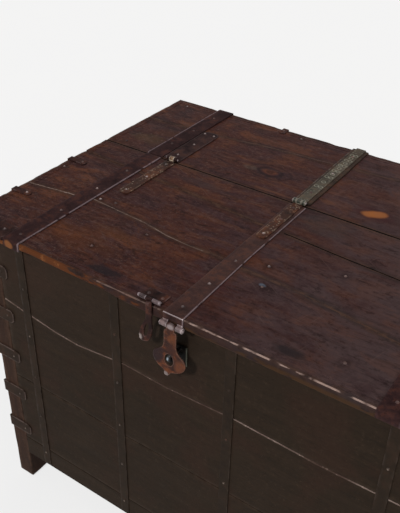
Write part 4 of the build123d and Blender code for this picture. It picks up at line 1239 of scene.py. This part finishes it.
def clips():
    look, t, drop = plateSet["clip"], plateSet["thickness"], plateSet["drop"]
    half, steps = look["width"] / 2, (6.0, 6.0, 6.0)
    shape = bmesh.new()
    for y in look["places"]:
        outline = clipped(-endX - t, look["length"] - endX, y - half, y + half, look["cut"])
        slab(shape, outline, 2, topZ, topZ + t)
        box(shape, (-endX - t, y - half, topZ - drop), (-endX, y + half, topZ + 0.4))
    ironwork("edgeClips", shape, "lid", "clipIron", "lid_edge_clips", steps, 95.0)
    shape = bmesh.new()
    x = -look["back"]
    box(shape, (x - half, edgeY - 25, topZ), (x + half, edgeY + t, topZ + t))
    box(shape, (x - half, edgeY, topZ - drop), (x + half, edgeY + t, topZ + 0.4))
    ironwork("backClips", shape, "chest", "clipIron", "back_clips", steps, 97.0)


def bands():
    look = plateSet["band"]
    half, t, low, high = look["width"] / 2, look["thickness"], look["low"], look["high"]
    for end, name in ((-1, "front"), (1, "back")):
        shape = bmesh.new()
        y = sorted((end * wallY, end * (wallY + t)))
        for x in look["front"]:
            box(shape, (x - half, y[0], low), (x + half, y[1], high))
        ironwork(
            name + "Bands", shape, "chest", "bandIron", name + "_bands", (8.1, 40.0, 9.0),
            101.0 + end, both=False)
    shape = bmesh.new()
    for y in look["ends"]:
        box(shape, (-wallX - t, y - half, low), (-wallX, y + half, high))
    ironwork("endBands", shape, "chest", "bandIron", "end_bands", (40.0, 8.1, 9.0), 105.0)


def angleStraps(end, name):
    look, t = plateSet["angle"], plateSet["thickness"]
    shape = bmesh.new()
    half = look["height"] / 2
    for z in look["levels"]:
        for axis, start, face in ((1, wallX, wallY), (0, wallY, wallX)):
            outline = clipped(-start - t, look["leg"] - start, z - half, z + half, look["cut"])
            slab(shape, outline, axis, -face - t, -face)
    ironwork(
        "angleStraps" + name.capitalize(), shape, "chest", "cornerIron",
        "corner_straps_" + name, (7.0, 7.0, 7.0), 111.0 + end, behind=end > 0)


cornerPlates()
clips()
bands()
angleStraps(-1, "front")
angleStraps(1, "back")
print("bands and plates done")


# nails
nailSet = {
    "radius": 4.6, "height": 2.3, "sides": 7, "top": 0.34, "jitter": 0.5,
    "strapLid": (0.059, 0.31, 0.556, 0.779), "centreStrap": (0.059, 0.238, 0.432),
    "strapRear": (0.225, 0.519, 0.815), "centreRear": (0.167, 0.506, 0.846),
    "centreLeaf": (156.0, 85.0, 28.0), "sideLeaf": (176.0, 101.0, 26.0),
    "sideRearLeaf": ((0.0, 34.0), (0.0, 103.0), (-14.0, 172.0), (14.0, 172.0)),
    "cornerPlate": ((14, 14), (14, 33), (62, 24), (112, 24)),
    "frontBand": (30, 140, 271, 397, 525, 655), "otherBand": (60, 340, 640),
    # nails of the clips, the slotted hasp's leaf and the angle straps; height of those in the boards
    "clip": 520.0, "slottedLeaf": (15.5, -374.0), "backClip": 387.5, "angle": 52.0, "sunk": 799.3,
    "lidSpan": (-400, 475), "rearSpan": (77, 323),      # where the straps start, how far they run
}


def nailHead(shape, place, way, seed):
    look, worn = nailSet, shape.verts.layers.float["worn"]
    way = Vector(way)
    turn = unit(2).rotation_difference(way).to_matrix().to_4x4()
    radius = look["radius"] * (1.0 + 0.18 * ripple((seed * 3.7, 0, 0), (1, 1, 1), 2.0))
    height = look["height"] * (0.9 + 0.3 * ripple((seed * 2.3, 5, 0), (1, 1, 1), 4.0))
    spin, rise = Matrix.Rotation(seed * 1.7, 4, "Z"), Matrix.Translation((0, 0, height / 2 - 0.5))
    made = bmesh.ops.create_cone(
        shape, cap_ends=True, segments=look["sides"], radius1=radius, radius2=radius * look["top"],
        depth=height + 1.0, matrix=Matrix.Translation(place) @ turn @ spin @ rise)
    for index, vert in enumerate(made["verts"]):
        # the top of each head takes the pale coat, a painted highlight
        vert[worn] = 1.0 if (vert.co - Vector(place)).dot(way) > 0.5 else 0.0
        if abs(way[2]) > 0.5:      # heads on the top are hammered out of round
            aside = [ripple((seed, index, at), (0.7, 0.7, 1), other) for at, other in ((0, 1.0), (9, 2.0))]
            vert.co += Vector((*aside, 0)) * look["jitter"]


def nails(name, body, places, node, finish):
    shape = bmesh.new()
    shape.verts.layers.float.new("worn")
    for turn, (place, way) in enumerate(places):
        nailHead(shape, place, way, 1.0 + turn * 1.31)
    piece(name, shape, body, (finish,), (node,), 20.0)


leafTop, clipTop = topZ + hingeSet["thickness"], topZ + plateSet["thickness"]
centreTop = strapTop + hingeSet["thickness"]


def onTop(height, points):      # driven down, at one height
    return [((x, y, height), (0, 0, 1)) for x, y in points]


def boardNails(test):      # driven straight into the boards
    return onTop(nailSet["sunk"], [(x - endX, y - edgeY) for x, y in topSet["nails"] if test(y - edgeY)])


def lidNailPlaces():
    look, places, (start, run) = nailSet, [], nailSet["lidSpan"]
    across, back = look["slottedLeaf"]
    for side in (-1, 1):
        strapX = side * strapSet["offset"]
        places += onTop(strapTop, [(strapX, start + share * run) for share in look["strapLid"]])
        places += onTop(leafTop, [(side * hingeSet["offset"], jointY - y) for y in look["sideLeaf"]])
        places += onTop(clipTop, [(linkSet["x"] + side * across, back)])
        places += onTop(clipTop, [(side * (endX - x), y - edgeY) for x, y in look["cornerPlate"]])
        places += onTop(clipTop, [(side * look["clip"], y) for y in plateSet["clip"]["places"]])
    places += onTop(strapTop, [(0, start + share * run) for share in look["centreStrap"]])
    places += onTop(centreTop, [(centreX, jointY - y) for y in look["centreLeaf"]])
    return places + boardNails(lambda y: y < jointY)


def rearNailPlaces():
    look, places, (start, run) = nailSet, [], nailSet["rearSpan"]
    leafX = hingeSet["offset"] + hingeSet["rearShift"]
    for side in (-1, 1):
        strapX = side * strapSet["offset"]
        places += onTop(strapTop, [(strapX, start + share * run) for share in look["strapRear"]])
        places += onTop(leafTop, [(side * leafX + x, jointY + y) for x, y in look["sideRearLeaf"]])
        places += onTop(clipTop, [(side * plateSet["clip"]["back"], look["backClip"])])
    places += onTop(centreTop, [(centreX, start + share * run) for share in look["centreRear"]])
    return places + boardNails(lambda y: y > jointY)


def wallNailPlaces():
    look, band, t = nailSet, plateSet["band"], plateSet["thickness"]
    aside, height = stapleSet["nails"]
    places = [((side * aside, -wallY - stapleSet["plate"][2], height), (0, -1, 0)) for side in (-1, 1)]
    for x in band["front"]:
        for end, drops in ((-1, look["frontBand"]), (1, look["otherBand"])):
            places += [((x, end * (wallY + band["thickness"]), topZ - drop), (0, end, 0)) for drop in drops]
    for side in (-1, 1):
        bandX = side * (wallX + band["thickness"])
        for y in band["ends"]:
            places += [((bandX, y, topZ - drop), (side, 0, 0)) for drop in look["otherBand"]]
        for end in (-1, 1):
            for z in plateSet["angle"]["levels"]:
                places.append(((side * (wallX - look["angle"]), end * (wallY + t), z), (0, end, 0)))
                places.append(((side * (wallX + t), end * (wallY - look["angle"]), z), (side, 0, 0)))
    return places


nails("lidNails", "lid", lidNailPlaces(), "lid_nails", "nailIron")
nails("rearTopNails", "chest", rearNailPlaces(), "rear_top_nails", "nailIron")
nails("wallNails", "chest", wallNailPlaces(), "staple_plate_nails", "wallNail")
print("nails done")


# floor, light and world
studioSet = {
    "floor": (0.80, 0.79, 0.78), "world": 0.30, "lift": 0.7,
    "lamps": {      # from where, degrees left of the front and above the floor; strength and softness
        "keyLight": {"left": 3.0, "up": 40.0, "strength": 2.15, "angle": 8.0},
        "sideLight": {"left": -115.0, "up": 30.0, "strength": 0.75, "angle": 25.0},
    },
}


def studio(look):
    shape = bmesh.new()
    bmesh.ops.create_grid(shape, x_segments=1, y_segments=1, size=60.0)
    mesh = bpy.data.meshes.new("studioFloor")
    shape.to_mesh(mesh)
    shape.free()
    floor = linked("studioFloor", mesh)
    paint = Paint(bpy.data.materials.new("floorPaint"))
    plain = paint.node("ShaderNodeBsdfDiffuse", {}, {"Color": paint.mix(
        paint.noise(paint.point(), 3.0), look["floor"], times(0.97, look["floor"]))})
    white = paint.node("ShaderNodeEmission", {}, {"Color": (1.0, 1.0, 1.0)})
    paint.output(paint.node("ShaderNodeMixShader", {}, {0: paint.seen() * look["lift"], 1: plain, 2: white}))
    mesh.materials.append(paint.owner)

    for name, lamp in look["lamps"].items():
        light = bpy.data.lights.new(name, "SUN")
        light.energy, light.angle = lamp["strength"], math.radians(lamp["angle"])
        left, up = math.radians(lamp["left"]), math.radians(lamp["up"])
        toward = Vector((-math.sin(left) * math.cos(up), -math.cos(left) * math.cos(up), math.sin(up)))
        linked(name, light).rotation_euler = toward.to_track_quat("Z", "Y").to_euler()

    world = bpy.data.worlds.new("studioWorld")
    bpy.context.scene.world = world
    sky = Paint(world)
    tint = sky.mix(sky.seen(), times(look["world"], (1.0, 1.0, 1.0)), (1.0, 1.0, 1.0))
    sky.output(sky.node("ShaderNodeBackground", {}, {"Color": tint}), "World")


studio(studioSet)
print("studio ready")
